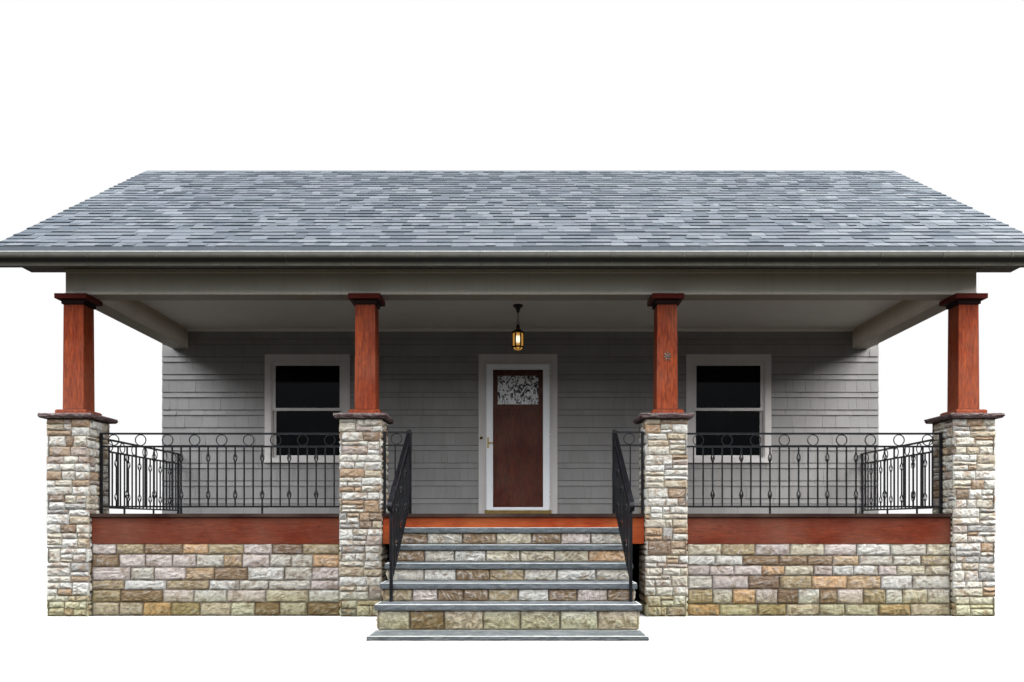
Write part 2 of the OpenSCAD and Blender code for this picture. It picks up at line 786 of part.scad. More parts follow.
// A sloping bar along the stair, between two depths, at a drop below the handrail's top
module sloping_bar(y0, y1, drop, h, w) {
    side_plate(-w / 2, w) polygon([
        [y0, handrail_z(y0) - drop - h], [y1, handrail_z(y1) - drop - h],
        [y1, handrail_z(y1) - drop], [y0, handrail_z(y0) - drop]]);
}

// The curl that ends the handrail: the same bar, bent down and back in three quarters of a turn
module handrail_curl() {
    r = curl_r;
    tilt = atan(stair_slope);
    end_y = post_foot_y - curl_reach;
    side_plate(-handrail_w / 2, handrail_w) translate([end_y, handrail_z(end_y)]) rotate(tilt) translate([0, -r])
        difference() {
            circle(r = r);
            circle(r = r - handrail_h);
            polygon([[0, 0], [3 * r, -0.6 * r], [3 * r, 3 * r], [0, 3 * r]]);
        }
}

module railing_stair(side) {
    bar_n = 11;
    drop_second = rail_h + ring_gap + 10;
    drop_low = rail_top - foot_bar_gap - stair_slope * (newel_y - deck_y);
    pitch = (newel_y - post_foot_y) / (bar_n + 1);
    low_h = 14;
    color(iron) translate([stair_rail_x(side), 0, 0]) union() {
        translate([-newel_w / 2, newel_y - newel_w / 2, deck_top]) cube([newel_w, newel_w, rail_top + 4]);
        translate([0, newel_y, deck_top + rail_top]) rotate_extrude($fn = 32)
            polygon([for (a = [0:15:90]) [newel_w / 2 * cos(a), 4 + 16 * sin(a)], [0, 0], [newel_w / 2, 0]]);
        translate([-rail_post_w / 2, post_foot_y - rail_post_w / 2, tread_top(tread_n)])
            cube([rail_post_w, rail_post_w, handrail_z(post_foot_y) - tread_top(tread_n) - 4]);
        sloping_bar(post_foot_y - curl_reach, newel_y, 0, handrail_h, handrail_w);
        sloping_bar(post_foot_y, newel_y, drop_second, low_h, 24);
        sloping_bar(post_foot_y, newel_y, drop_low, low_h, 24);
        for (i = [1:bar_n]) {
            y = post_foot_y + i * pitch;
            z0 = handrail_z(y) - drop_low - 5;
            z1 = handrail_z(y) - drop_second - 5;
            translate([0, y, 0])
                if (i % 3 == 0) basket_bar(z0, z1, z0 + 0.24 * (z1 - z0), z0 + 0.8 * (z1 - z0));
                else square_bar(z0, z1);
        }
        handrail_curl();
    }
}

// Lantern: six bars and a flared roof round six panes, with a shallow bowl of glass under them
lantern_top = ceiling_z - lantern_drop + lantern_bowl_h + lantern_glass_h;
module lantern_frame() {
    r = lantern_glass_r;
    rim = r + 18;
    color("#241f1b") translate([-front_shift, front_y + lantern_y, lantern_top]) union() {
        translate([0, 0, ceiling_z - lantern_top]) rotate_extrude() polygon([
            [0, 0], [62, 0], [62, -18], [36, -28], [30, -46], [12, -96], [0, -96]]);
        translate([0, 0, 147]) cylinder(r = 6, h = ceiling_z - lantern_top - 167);
        translate([0, 0, 133]) rotate([90, 0, 0]) rotate_extrude() translate([17, 0]) circle(r = 4.5, $fn = 16);
        rotate_extrude() polygon([
            [0, 0], [r + 6, 0], [rim, 6], [rim, 13], [r - 14, 38], [30, 56], [22, 66], [25, 82], [19, 105], [8, 118], [0, 120]]);
        for (a = [0:60:300]) rotate(a) translate([r, -4, -lantern_glass_h - 6])
            cube([6, 8, lantern_glass_h + 12]);
        translate([0, 0, -lantern_glass_h]) difference() {
            rotate_extrude() polygon([[0, 0], [r + 8, 0], [r + 8, -12], [r + 2, -16], [0, -16]]);
            translate([0, 0, -17]) cylinder(r = r - 12, h = 12);
        }
    }
}

module lantern_glass() {
    r = lantern_glass_r - fit;
    color("#e0a84a") translate([-front_shift, front_y + lantern_y, lantern_top - lantern_glass_h]) {
        difference() {
            cylinder(r = r, h = lantern_glass_h, $fn = 6);
            translate([0, 0, 4]) cylinder(r = r - 4, h = lantern_glass_h - 8, $fn = 6);
        }
        translate([0, 0, -5]) rotate_extrude() polygon([
            [0, 0], [r - 12, 0], [r - 12, -14], [r - 18, -24], [28, -36], [0, -39]]);
    }
}

stair_core();
stair_treads();
foundation_front();
foundation_sides();
deck_floor();
skirt_boards();
pier(pier_xs[0]);  // pier_far_left
pier(pier_xs[1]);  // pier_left
pier(pier_xs[2]);  // pier_right
pier(pier_xs[3]);  // pier_far_right
pier_caps();
column(column_xs[0]);  // column_far_left
column(column_xs[1]);  // column_left
column(column_xs[2]);  // column_right
column(column_xs[3]);  // column_far_right
front_beam();
side_beams();
ceiling();
soffit();
fascia();
gutter();
roof();
gable_infills();
rake_boards();
wall_base();
wall_side(-1);  // wall_left
wall_side(1);  // wall_right
wall_over_door();
window(-window_x - front_shift);  // window_left
window(window_x - front_shift);  // window_right
window_glass();
door_frame();
door_sill();
storm_door();
storm_door_glass();
front_door();
front_door_glass();
railing_front(-1);  // railing_front_left
railing_front(1);  // railing_front_right
railing_side(-1);  // railing_side_left
railing_side(1);  // railing_side_right
railing_stair(-1);  // railing_stair_left
railing_stair(1);  // railing_stair_right
lantern_frame();
lantern_glass();
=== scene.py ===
"""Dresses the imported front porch: stone, stained wood, siding, shingles, iron, glass and its lantern."""

import math

import bpy
import numpy as np
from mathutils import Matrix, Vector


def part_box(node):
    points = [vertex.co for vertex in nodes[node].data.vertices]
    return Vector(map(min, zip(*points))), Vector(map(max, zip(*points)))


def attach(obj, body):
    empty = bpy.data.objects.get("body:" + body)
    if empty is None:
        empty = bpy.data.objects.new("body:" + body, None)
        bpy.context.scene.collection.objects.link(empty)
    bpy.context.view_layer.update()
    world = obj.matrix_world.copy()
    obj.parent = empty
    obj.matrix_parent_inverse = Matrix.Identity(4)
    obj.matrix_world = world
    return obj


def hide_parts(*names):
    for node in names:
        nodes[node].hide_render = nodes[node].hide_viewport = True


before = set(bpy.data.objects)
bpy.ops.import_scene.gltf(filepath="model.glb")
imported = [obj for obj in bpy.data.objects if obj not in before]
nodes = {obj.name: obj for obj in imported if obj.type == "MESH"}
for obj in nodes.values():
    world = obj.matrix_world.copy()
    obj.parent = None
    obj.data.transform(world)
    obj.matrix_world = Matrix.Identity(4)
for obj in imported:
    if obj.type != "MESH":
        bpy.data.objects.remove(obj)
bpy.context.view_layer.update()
PORCH = "porch"

# Heights and planes of the porch, in metres, read from the frame's own nodes


def extent(node):
    """Lowest and highest corner of a node as two arrays."""
    low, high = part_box(node)
    return np.array(low), np.array(high)


def middle(node):
    """Middle of a node's box."""
    low, high = extent(node)
    return (low + high) / 2


PIERS = ("pier_far_left", "pier_left", "pier_right", "pier_far_right")
COLUMNS = ("column_far_left", "column_left", "column_right", "column_far_right")
BASE_TRIM_H = 0.055
CAPITAL_H = 0.098
NECK_H = 0.042
ROOF_RISE = 0.667
ROOF_PLUMB = 0.054
STEP_RISE = 0.17
STEP_RUN = 0.28
STORM_FACE = 0.034
STORM_T = 0.032
DOOR_FACE = 0.09
DOOR_T = 0.045

pier_boxes = [extent(name) for name in PIERS]
pier_x = [float(middle(name)[0]) for name in PIERS]
column_x = [float(middle(name)[0]) for name in COLUMNS]
column_low, column_high = extent("column_right")
deck_low, deck_high = extent("deck_floor")
roof_low, roof_high = extent("roof")
gutter_low, gutter_high = extent("gutter")
door_low = extent("door_frame")[0]
wall_low = extent("wall_left")[0]

DECK_Z = deck_high[2]
WALL_Y = wall_low[1]
FRONT_Y = pier_boxes[1][0][1]
BEAM_Z = extent("front_beam")[0][2]
CEILING_Z = extent("ceiling")[0][2]
ENTRY_X = float(middle("door_frame")[0])
COLUMN_Y = float(middle("column_right")[1])
SHAFT_FOOT = float(column_low[2]) + BASE_TRIM_H
SHAFT_HEAD = float(column_high[2]) - CAPITAL_H

# Camera

FOCAL_PX = 800.0
FRAME_W = 1024.0
FRAME_H = 682.0
VANISH_PX = (518.0, 523.0)
CAMERA_BACK = 8.5
CAMERA_DROP = 0.099

camera_data = bpy.data.cameras.new("porch_camera")
camera_data.sensor_width = 36.0
camera_data.lens = FOCAL_PX / FRAME_W * camera_data.sensor_width
camera_data.shift_x = (FRAME_W / 2 - VANISH_PX[0]) / FRAME_W
camera_data.shift_y = (VANISH_PX[1] - FRAME_H / 2) / FRAME_W
camera_data.clip_end = 300.0
camera = bpy.data.objects.new("porch_camera", camera_data)
camera.location = (ENTRY_X, FRONT_Y - CAMERA_BACK, DECK_Z - CAMERA_DROP)
camera.rotation_euler = (math.pi / 2, 0.0, 0.0)
bpy.context.scene.collection.objects.link(camera)
bpy.context.scene.camera = camera

# Node trees: each helper puts its node into the tree of the outputs that it is given


def tint(red, green, blue):
    """Linear colour of a paint that reads as these 0 to 255 values."""
    c = np.array([red, green, blue]) / 255.0
    linear = np.where(c <= 0.04045, c / 12.92, ((c + 0.055) / 1.055) ** 2.4)
    return (*[float(v) for v in linear], 1.0)


def feed(node, inputs):
    """Fills a node's inputs with numbers, colours or other nodes' outputs."""
    for key, value in inputs.items():
        if isinstance(value, bpy.types.NodeSocket):
            node.id_data.links.new(value, node.inputs[key])
        else:
            node.inputs[key].default_value = value
    return node


def put(tree, kind, inputs=None, **settings):
    """A shader node with its settings and inputs."""
    made = tree.nodes.new("ShaderNode" + kind)
    for name, value in settings.items():
        setattr(made, name, value)
    return feed(made, inputs or {})


def use(group, inputs):
    """Outputs of a group that is placed in the tree of its coordinates."""
    return put(inputs["Vector"].id_data, "Group", inputs, node_tree=group).outputs


def blend(share, first, second, how="MIX"):
    """Colour between first and second; three numbers are a paint, and four a linear colour."""
    first, second = (tint(*c) if isinstance(c, tuple) and len(c) == 3 else c for c in (first, second))
    inputs = {0: share, 6: first, 7: second}
    return put(share.id_data, "Mix", inputs, data_type="RGBA", blend_type=how).outputs[2]


def sums(how, first, second=0.0):
    """Arithmetic on an output and a second number."""
    return put(first.id_data, "Math", {0: first, 1: second}, operation=how).outputs[0]


def times(first, second):
    """Product of an output and a second number."""
    return sums("MULTIPLY", first, second)


def off(value, mark):
    """How far a value is from a mark, either way."""
    return sums("ABSOLUTE", sums("SUBTRACT", value, mark))


def spread(value, low, high, to_low=0.0, to_high=1.0):
    """The value's range from low to high, stretched to another."""
    inputs = {"Value": value, "From Min": low, "From Max": high, "To Min": to_low, "To Max": to_high}
    return put(value.id_data, "MapRange", inputs).outputs[0]


def between(share, low, high):
    """Low at a share of 0, high at 1."""
    return spread(share, 0.0, 1.0, low, high)


def stepped(share, stops):
    """Colours along a scale from 0 to 1: each (start, red, green, blue) holds until the next one starts."""
    made = put(share.id_data, "ValToRGB", {0: share})
    made.color_ramp.interpolation = "CONSTANT"
    elements = made.color_ramp.elements
    for element, (start, *_) in zip(elements, stops):
        element.position = start
    for start, *_ in stops[2:]:
        elements.new(start)
    for element, (_, *colour) in zip(elements, stops):
        element.color = tint(*colour)
    return made.outputs[0]


def noise(place, scale, detail=4.0, rough=0.55, distortion=0.0):
    """Cloudy values about 0.5."""
    inputs = {"Vector": place, "Scale": scale, "Detail": detail, "Roughness": rough, "Distortion": distortion}
    return put(place.id_data, "TexNoise", inputs).outputs["Fac"]


def stretched(place, factors):
    """The coordinates, scaled along each axis."""
    return put(place.id_data, "Mapping", {"Vector": place, "Scale": factors}).outputs[0]


def axis(place, which):
    """One coordinate: 0 to the right, 1 into the house, 2 up."""
    return put(place.id_data, "SeparateXYZ", {0: place}).outputs[which]


def new_group(name, numbers, results):
    """Inputs and output node of a new group, which takes coordinates and numbers and gives numbers."""
    tree = bpy.data.node_groups.new(name, "ShaderNodeTree")
    tree.interface.new_socket("Vector", in_out="INPUT", socket_type="NodeSocketVector")
    for number in numbers:
        tree.interface.new_socket(number, in_out="INPUT", socket_type="NodeSocketFloat")
    for result in results:
        tree.interface.new_socket(result, in_out="OUTPUT", socket_type="NodeSocketFloat")
    return tree.nodes.new("NodeGroupInput").outputs, tree.nodes.new("NodeGroupOutput")


def make_rock_group():
    """Grain of split stone: cloudy drift of its colour, streaks along its bed, and the height of its face."""
    ins, end = new_group("rock grain", ["Bed"], ["Drift", "Streak", "Height"])
    place = ins["Vector"]
    streak = noise(stretched(place, (0.7, 0.7, 3.2)), 13.0, 6.0, 0.7, 1.4)
    coarse = times(noise(place, 30.0, 5.0, 0.65), 0.7)
    fine = times(noise(place, 150.0, 3.0, 0.6), 0.3)
    height = sums("ADD", sums("ADD", coarse, fine), times(streak, ins["Bed"]))
    feed(end, {"Drift": noise(place, 9.0, 4.0, 0.65), "Streak": streak, "Height": height})
    return end.id_data


def make_grain_group():
    """Grain of sawn wood along the long axis of the stretched coordinates: early and late wood, and pores."""
    ins, end = new_group("wood grain", [], ["Band", "Pore", "Blotch"])
    place = ins["Vector"]
    band = spread(noise(place, 9.0, 5.0, 0.62, 0.8), 0.32, 0.68)
    pore = spread(noise(place, 60.0, 2.0, 0.5), 0.35, 0.65)
    feed(end, {"Band": band, "Pore": pore, "Blotch": spread(noise(place, 1.6, 2.0, 0.5), 0.3, 0.7)})
    return end.id_data


def make_weather_group():
    """Dust and rain marks: soft patches, and thin streaks that run down."""
    ins, end = new_group("weather", [], ["Patch", "Run"])
    place = ins["Vector"]
    patch = spread(noise(place, 1.7, 4.0, 0.6), 0.35, 0.7)
    run = spread(noise(stretched(place, (9.0, 9.0, 0.55)), 2.2, 3.0, 0.6), 0.5, 0.75)
    feed(end, {"Patch": patch, "Run": run})
    return end.id_data


ROCK = make_rock_group()
GRAIN = make_grain_group()
WEATHER = make_weather_group()
APART = (37.0, 25.9, 48.1)

# Materials


def new_material(name, roughness=0.6, metallic=0.0, specular=0.5):
    """A material, its shader and the object's coordinates."""
    material = bpy.data.materials.new(name)
    material.use_nodes = True
    shader = material.node_tree.nodes["Principled BSDF"]
    feed(shader, {"Roughness": roughness, "Metallic": metallic, "Specular IOR Level": specular})
    return material, shader, put(material.node_tree, "TexCoord").outputs["Object"]


def own(place, name):
    """The tone from 0 to 1 of each stone, shingle or board, or the shade that each place on it has."""
    return put(place.id_data, "Attribute", attribute_name=name).outputs["Fac"]


def shaded_and_sooted(colour, shade_and_soot, much, start=0.45):
    """The colour darkened by the shade attribute: painted shade and dirt in joints and hollows, under slab
    edges and under the next course.
    """
    return blend(spread(own(colour, "shade"), start, 0.9, 0.0, much), colour, shade_and_soot, "MULTIPLY")


def apart(place, tone):
    """Coordinates moved by a piece's own number, so that no two pieces share a pattern."""
    shift = put(place.id_data, "VectorMath", {0: APART, "Scale": tone}, operation="SCALE").outputs[0]
    return put(place.id_data, "VectorMath", {0: place, 1: shift}, operation="ADD").outputs[0]


def bump(shader, height, distance):
    """Height of the surface, as a bump on the shader."""
    made = put(shader.id_data, "Bump", {"Height": height, "Distance": distance, "Strength": 1.0})
    feed(shader, {"Normal": made.outputs[0]})


def stone_material(
    name, stops, stain, other, bed=0.5, depth=0.004, roughness=0.86, veins=0.6, worn_highlight=0.0, shade_and_soot=0.5, moss=0.8
):
    """Split stone, whose colour is its own, with paler and darker streaks, two kinds of stain, painted shade
    and dirt in its joints and hollows, crests and arrises painted paler as wear and as a highlight, and a
    green cast near the ground."""
    material, shader, place = new_material(name, roughness, specular=0.3)
    tone = own(place, "tone")
    rock = use(ROCK, {"Vector": apart(place, tone), "Bed": bed})
    drift, streak = rock["Drift"], rock["Streak"]
    colour = blend(spread(drift, 0.5, 0.62, 0.0, 0.7), stepped(tone, stops), stain)
    colour = blend(spread(drift, 0.43, 0.33, 0.0, 0.65), colour, other)
    colour = blend(spread(streak, 0.5, 0.72, 0.0, veins * 0.75), colour, (206, 202, 192))
    colour = blend(spread(streak, 0.46, 0.3, 0.0, veins), colour, (96, 80, 66), "MULTIPLY")
    # painted shade and dirt: darker in the joints, in the hollows of the face and low on slab edges
    colour = shaded_and_sooted(colour, (88, 80, 72), shade_and_soot, 0.9 - 1.2 * shade_and_soot)
    # painted highlight and wear: crests and the top arris of slabs turn paler
    colour = blend(spread(own(place, "shade"), -0.3, -0.9, 0.0, worn_highlight), colour, (200, 202, 200))
    mossy = spread(axis(place, 2), 0.3, 0.12, 0.0, moss)
    feed(shader, {"Base Color": blend(mossy, colour, (226, 224, 184), "MULTIPLY")})
    bump(shader, rock["Height"], depth)
    return material


def wood_material(name, dark, light, streak, stretch, roughness, coat=0.0, marks=None):
    """Stained wood with its grain along the axis that the stretch leaves short, and any marks of its own,
    which on the columns and the entry paint shadow and light.
    """
    material, shader, place = new_material(name, roughness, specular=0.25)
    grain = use(GRAIN, {"Vector": stretched(apart(place, own(place, "tone")), stretch)})
    patch = use(WEATHER, {"Vector": place})["Patch"]
    colour = blend(grain["Band"], dark, light)
    colour = blend(times(grain["Blotch"], 0.6), colour, streak)
    colour = blend(times(grain["Pore"], 0.16), colour, (40, 24, 18))
    colour = blend(times(patch, 0.1), colour, (190, 170, 150))
    if marks:
        colour = marks(place, colour)
    rough = between(patch, roughness - 0.08, roughness + 0.14)
    feed(shader, {"Base Color": colour, "Roughness": rough, "Coat Weight": coat, "Coat Roughness": 0.3})
    bump(shader, sums("ADD", grain["Band"], times(grain["Pore"], 0.5)), 0.0006)
    return material


def column_stain_and_shadow(place, colour):
    """Darker stain at a column's head; painted shadow as a near-black band on its neck under the capital, and
    painted shadow with grime as a dark line just above its base.
    """
    height = axis(place, 2)
    # painted shadow: a near-black band on the neck under the capital
    neck = spread(height, SHAFT_HEAD - 0.012, SHAFT_HEAD - 0.006, 0.0, 0.95)
    head = spread(height, SHAFT_HEAD + NECK_H, SHAFT_HEAD + NECK_H + 0.004)
    # painted shadow and grime: a dark line just above the base trim
    foot = spread(off(height, SHAFT_FOOT + 0.004), 0.004, 0.009, 0.8, 0.0)
    colour = blend(head, blend(neck, colour, (14, 8, 8)), (92, 30, 22))
    return blend(foot, colour, (20, 9, 8))


def entry_painted_light(place, colour):
    """Painted light: the stain is brightened to an orange between the inner piers."""
    entry = spread(off(axis(place, 0), (column_x[1] + column_x[2]) / 2), 1.5, 1.56, 1.0, 0.0)
    # painted light: brighter orange between the inner piers
    return blend(entry, colour, (2.2, 1.65, 0.8, 1.0), "MULTIPLY")


def beam_painted_shade(place, colour):
    """Painted shade on the beams: darker grey on the underside and towards the top under the eave, with plain
    paint between.
    """
    height = axis(place, 2)
    # painted shade on the underside
    under = spread(height, BEAM_Z, BEAM_Z + 0.003, 1.0, 0.0)
    colour = blend(under, colour, (166, 161, 154), "MULTIPLY")
    # painted shade, darker towards the top under the eave
    return blend(spread(height, CEILING_Z - 0.2, CEILING_Z - 0.06), colour, (186, 179, 166), "MULTIPLY")


def paint_material(name, colour, shade, roughness, dirt, grain=(1.0, 1.0, 1.0), depth=0.0004, marks=None):
    """Paint on wood or metal that shifts from colour to shade, with dust in patches and rain marks, painted
    shade and dirt where the shade attribute marks gaps and the strip under the next course, and any marks of
    its own, such as the beams' painted shade."""
    material, shader, place = new_material(name, roughness)
    tone = own(place, "tone")
    weather = use(WEATHER, {"Vector": place})
    fine = noise(stretched(apart(place, tone), grain), 22.0, 4.0)
    mixed = blend(spread(sums("ADD", fine, tone), 0.3, 1.3), colour, shade)
    mixed = blend(times(weather["Patch"], dirt), mixed, (120, 110, 98), "MULTIPLY")
    mixed = blend(times(weather["Run"], dirt * 0.8), mixed, (110, 100, 88), "MULTIPLY")
    # painted shade and dirt: darker in the gaps and in the strip under the next course
    mixed = shaded_and_sooted(mixed, (92, 88, 84), 0.9)
    if marks:
        mixed = marks(place, mixed)
    rough = spread(fine, 0.3, 0.7, roughness - 0.06, roughness + 0.1)
    feed(shader, {"Base Color": mixed, "Roughness": rough})
    bump(shader, fine, depth)
    return material


def add_fittings(material, front, thick):
    """Gives a door's finish aged brass on what stands out of its two faces on the lock side."""
    shader = material.node_tree.nodes["Principled BSDF"]
    place = put(material.node_tree, "TexCoord").outputs["Object"]
    before = sums("LESS_THAN", axis(place, 1), front - 0.001)
    behind = sums("GREATER_THAN", axis(place, 1), front + thick + 0.001)
    lock_side = sums("LESS_THAN", axis(place, 0), ENTRY_X)
    fitting = times(sums("ADD", before, behind), lock_side)
    paint = shader.inputs["Base Color"].links[0].from_socket
    brassy = blend(fitting, paint, (186, 160, 104))
    feed(shader, {"Base Color": brassy, "Metallic": times(fitting, 0.9)})


ROOF_STOPS = [
    (0.0, 96, 102, 109),
    (0.2, 82, 89, 96),
    (0.45, 108, 113, 119),
    (0.65, 101, 106, 112),
    (0.82, 90, 96, 102),
    (0.92, 117, 122, 127),
]


def roofing_material():
    """Mineral granules of blue grey, lighter and darker by the shingle, with painted shadow and dirt in the
    gaps and under the butt of the next course.
    """
    material, shader, place = new_material("roof shingle", 0.9, specular=0.25)
    tone = own(place, "tone")
    granule = noise(apart(place, tone), 260.0, 2.0, 0.7)
    colour = blend(spread(granule, 0.35, 0.65, 0.0, 0.4), stepped(tone, ROOF_STOPS), (66, 71, 77))
    cloud = noise(place, 1.1, 4.0, 0.6)
    colour = blend(spread(cloud, 0.45, 0.75, 0.0, 0.3), colour, (124, 129, 132))
    # painted shadow and dirt under the butt of the next course
    feed(shader, {"Base Color": shaded_and_sooted(colour, (42, 45, 50), 0.95, 0.3)})
    bump(shader, granule, 0.0015)
    return material


def iron_material():
    """Painted wrought iron: black, scuffed by hands into bluish grey patches that are partly a painted cool
    sheen, with the marks of the hammer.
    """
    material, shader, place = new_material("wrought iron", 0.4, specular=0.55)
    scuff_and_sheen = spread(noise(place, 14.0, 5.0, 0.65), 0.52, 0.72)
    rust = spread(noise(place, 31.0, 4.0, 0.7), 0.7, 0.78, 0.0, 0.4)
    # the bluish grey of the scuffs is partly a painted sheen
    colour = blend(rust, blend(scuff_and_sheen, (7, 7, 10), (22, 24, 33)), (61, 36, 25))
    feed(shader, {"Base Color": colour, "Roughness": between(scuff_and_sheen, 0.34, 0.52)})
    bump(shader, noise(place, 55.0, 2.0, 0.5), 0.0008)
    return material


def metal_material(name, colour, shade, roughness, metallic=1.0, fold=None):
    """Bare or coated metal with faint rubbed patches, and painted shade in a dark band about the height of a
    fold.
    """
    material, shader, place = new_material(name, roughness, metallic)
    rubbed = spread(noise(place, 11.0, 5.0, 0.6), 0.35, 0.7)
    mixed = blend(rubbed, colour, shade)
    if fold:
        # painted shade: a dark band in the gutter's cove under its lip
        mixed = blend(spread(off(axis(place, 2), fold), 0.012, 0.028, 0.92, 0.0), mixed, (14, 13, 11))
    rough = between(rubbed, roughness - 0.08, roughness + 0.12)
    feed(shader, {"Base Color": mixed, "Roughness": rough})
    bump(shader, noise(place, 80.0, 3.0), 0.0002)
    return material


def dark_pane_material():
    """Window glass painted black to stand in for the unlit room behind it, smooth and reflecting, with a
    breath of dust.
    """
    material, shader, place = new_material("dark pane", 0.04, specular=0.09)
    dust = spread(noise(place, 2.4, 5.0, 0.65), 0.45, 0.8)
    # painted shade: black for the unlit room behind the glass
    colour = blend(dust, (4, 5, 6), (15, 17, 19))
    feed(shader, {"Base Color": colour, "Roughness": between(dust, 0.03, 0.09)})
    return material


def clear_pane_material():
    """Clear glass that shows what stands behind it, and mirrors more of the light at a slant."""
    material, shader, place = new_material("clear pane", 0.03, specular=0.14)
    dust = spread(noise(place, 5.0, 5.0, 0.7), 0.5, 0.85)
    colour = blend(dust, (20, 24, 26), (58, 62, 64))
    feed(shader, {"Base Color": colour, "Roughness": between(dust, 0.02, 0.08)})
    feed(shader, {"Alpha": between(dust, 0.02, 0.06)})
    return material


def curled_pane_material():
    """Obscure glass of the door's light: dark, with pale rolled curls."""
    material, shader, place = new_material("curled pane", 0.12)
    curls = noise(stretched(place, (1.0, 1.0, 0.75)), 8.0, 2.0, 0.5, 2.0)
    ridge = off(sums("FRACT", times(curls, 4.0)), 0.5)
    feed(shader, {"Base Color": blend(spread(ridge, 0.12, 0.34), (52, 52, 54), (246, 249, 252))})
    bump(shader, ridge, 0.006)
    return material


LAMP_PANE_H = 0.164
LAMP_SIDES = 6


def lamp_glass_material():
    """Amber seeded glass with a lit bulb in it: brightest where a pane is nearest to the bulb, and dark along
    the bars between its panes."""
    material, shader, place = new_material("amber glass", 0.18)
    tree = place.id_data
    low, high = extent("lantern_glass")
    bulb = (*[float(v) for v in ((low + high) / 2)[:2]], float(high[2]) - LAMP_PANE_H / 2)
    away = put(tree, "VectorMath", {0: place, 1: bulb}, operation="DISTANCE").outputs["Value"]
    aside = put(tree, "LayerWeight", {"Blend": 0.5}).outputs["Facing"]
    dim = sums("MAXIMUM", spread(away, 0.064, 0.084), spread(aside, 0.1, 0.45))
    way = put(tree, "VectorMath", {0: place, 1: bulb}, operation="SUBTRACT").outputs[0]
    side = times(sums("ARCTAN2", axis(way, 1), axis(way, 0)), LAMP_SIDES / (2 * math.pi))
    from_bar = off(sums("FRACT", sums("ADD", side, LAMP_SIDES / 2 + 0.5)), 0.5)
    bar = spread(from_bar, 0.13, 0.15, 1.0, 0.0)
    seeds = noise(place, 70.0, 3.0)
    colour = blend(spread(seeds, 0.4, 0.7), (226, 150, 60), (245, 190, 96))
    lit = blend(dim, (255, 244, 214), (142, 102, 44))
    feed(shader, {"Base Color": blend(bar, colour, (26, 21, 18)), "Emission Strength": 1.35})
    feed(shader, {"Emission Color": blend(bar, lit, (8, 6, 5))})
    bump(shader, seeds, 0.0012)
    return material


PIER_STOPS = [
    (0.0, 190, 188, 180),
    (0.18, 172, 160, 139),
    (0.29, 201, 200, 194),
    (0.46, 155, 135, 113),
    (0.53, 182, 176, 161),
    (0.66, 161, 149, 141),
    (0.72, 151, 149, 145),
    (0.78, 196, 192, 180),
    (0.92, 161, 136, 110),
    (0.97, 123, 105, 88),
]
BLOCK_STOPS = [
    (0.0, 174, 169, 158),
    (0.14, 164, 140, 110),
    (0.26, 188, 186, 180),
    (0.38, 124, 102, 78),
    (0.49, 182, 170, 164),
    (0.60, 150, 134, 104),
    (0.71, 168, 157, 152),
    (0.80, 177, 169, 148),
    (0.90, 182, 148, 112),
    (0.96, 112, 90, 72),
]
CAP_STOPS = [(0.0, 96, 77, 77), (0.5, 89, 70, 71)]
TREAD_STOPS = [(0.0, 86, 93, 97), (0.5, 93, 98, 102)]
UPRIGHT = (7.0, 7.0, 0.8)
ACROSS = (0.8, 7.0, 7.0)
INWARD = (7.0, 0.8, 7.0)
GUTTER_FOLD = float(gutter_high[2]) - 0.072

ledgestone = stone_material("ledgestone", PIER_STOPS, (138, 112, 88), (142, 134, 134), depth=0.008, worn_highlight=0.3)
sandstone = stone_material(
    "sandstone block", BLOCK_STOPS, (124, 106, 84), (150, 142, 142), 0.8, 0.012, worn_highlight=0.5, shade_and_soot=0.8
)
fieldstone = stone_material(
    "foundation stone", BLOCK_STOPS, (116, 98, 78), (140, 134, 130), depth=0.009, worn_highlight=0.4, shade_and_soot=0.75
)
cap_stone = stone_material("cap stone", CAP_STOPS, (76, 58, 58), (112, 92, 92), 0.3, 0.003, 0.8, worn_highlight=0.25)
bluestone = stone_material(
    "bluestone", TREAD_STOPS, (73, 78, 81), (98, 106, 112), 0.2, 0.0015, 0.72, 0.3, 0.85, moss=0.15
)
mortar = paint_material("mortar", (92, 84, 74), (66, 58, 52), 0.9, 0.4, depth=0.003)
column_wood = wood_material(
    "stained column wood", (80, 21, 6), (174, 76, 31), (113, 34, 10), UPRIGHT, 0.6, marks=column_stain_and_shadow
)
skirt_wood = wood_material(
    "stained skirt wood", (80, 28, 12), (124, 52, 26), (92, 34, 16), ACROSS, 0.6, marks=entry_painted_light
)
deck_wood = wood_material("stained deck wood", (30, 13, 11), (45, 21, 18), (37, 15, 13), INWARD, 0.45)
door_wood = wood_material("door wood", (44, 13, 7), (118, 48, 18), (70, 21, 9), UPRIGHT, 0.4, 0.08)
trim_paint = paint_material("taupe trim paint", (122, 116, 106), (112, 106, 96), 0.5, 0.2)
beam_paint = paint_material("beam paint", (250, 244, 232), (243, 236, 223), 0.5, 0.1, marks=beam_painted_shade)
# painted shade: the soffit is painted dark for the shade under the eave
soffit_shade_paint = paint_material("soffit painted shade", (74, 69, 64), (64, 61, 56), 0.6, 0.2)
ceiling_paint = paint_material("ceiling paint", (230, 229, 222), (221, 220, 213), 0.6, 0.08)
siding_paint = paint_material(
    "siding stain", (143, 142, 141), (136, 135, 134), 0.7, 0.12, (5.0, 5.0, 0.6), 0.0008
)
casing_paint = paint_material("casing paint", (200, 197, 195), (193, 190, 188), 0.5, 0.12)
storm_paint = paint_material("white storm door", (240, 244, 247), (232, 236, 240), 0.35, 0.06)
add_fittings(storm_paint, WALL_Y - STORM_FACE, STORM_T)
add_fittings(door_wood, WALL_Y + DOOR_FACE, DOOR_T)
gutter_paint = metal_material("gutter coating", (82, 80, 73), (94, 92, 84), 0.5, 0.1, GUTTER_FOLD)
drip_metal = metal_material("bare drip edge", (176, 178, 180), (156, 158, 160), 0.45, 0.2)
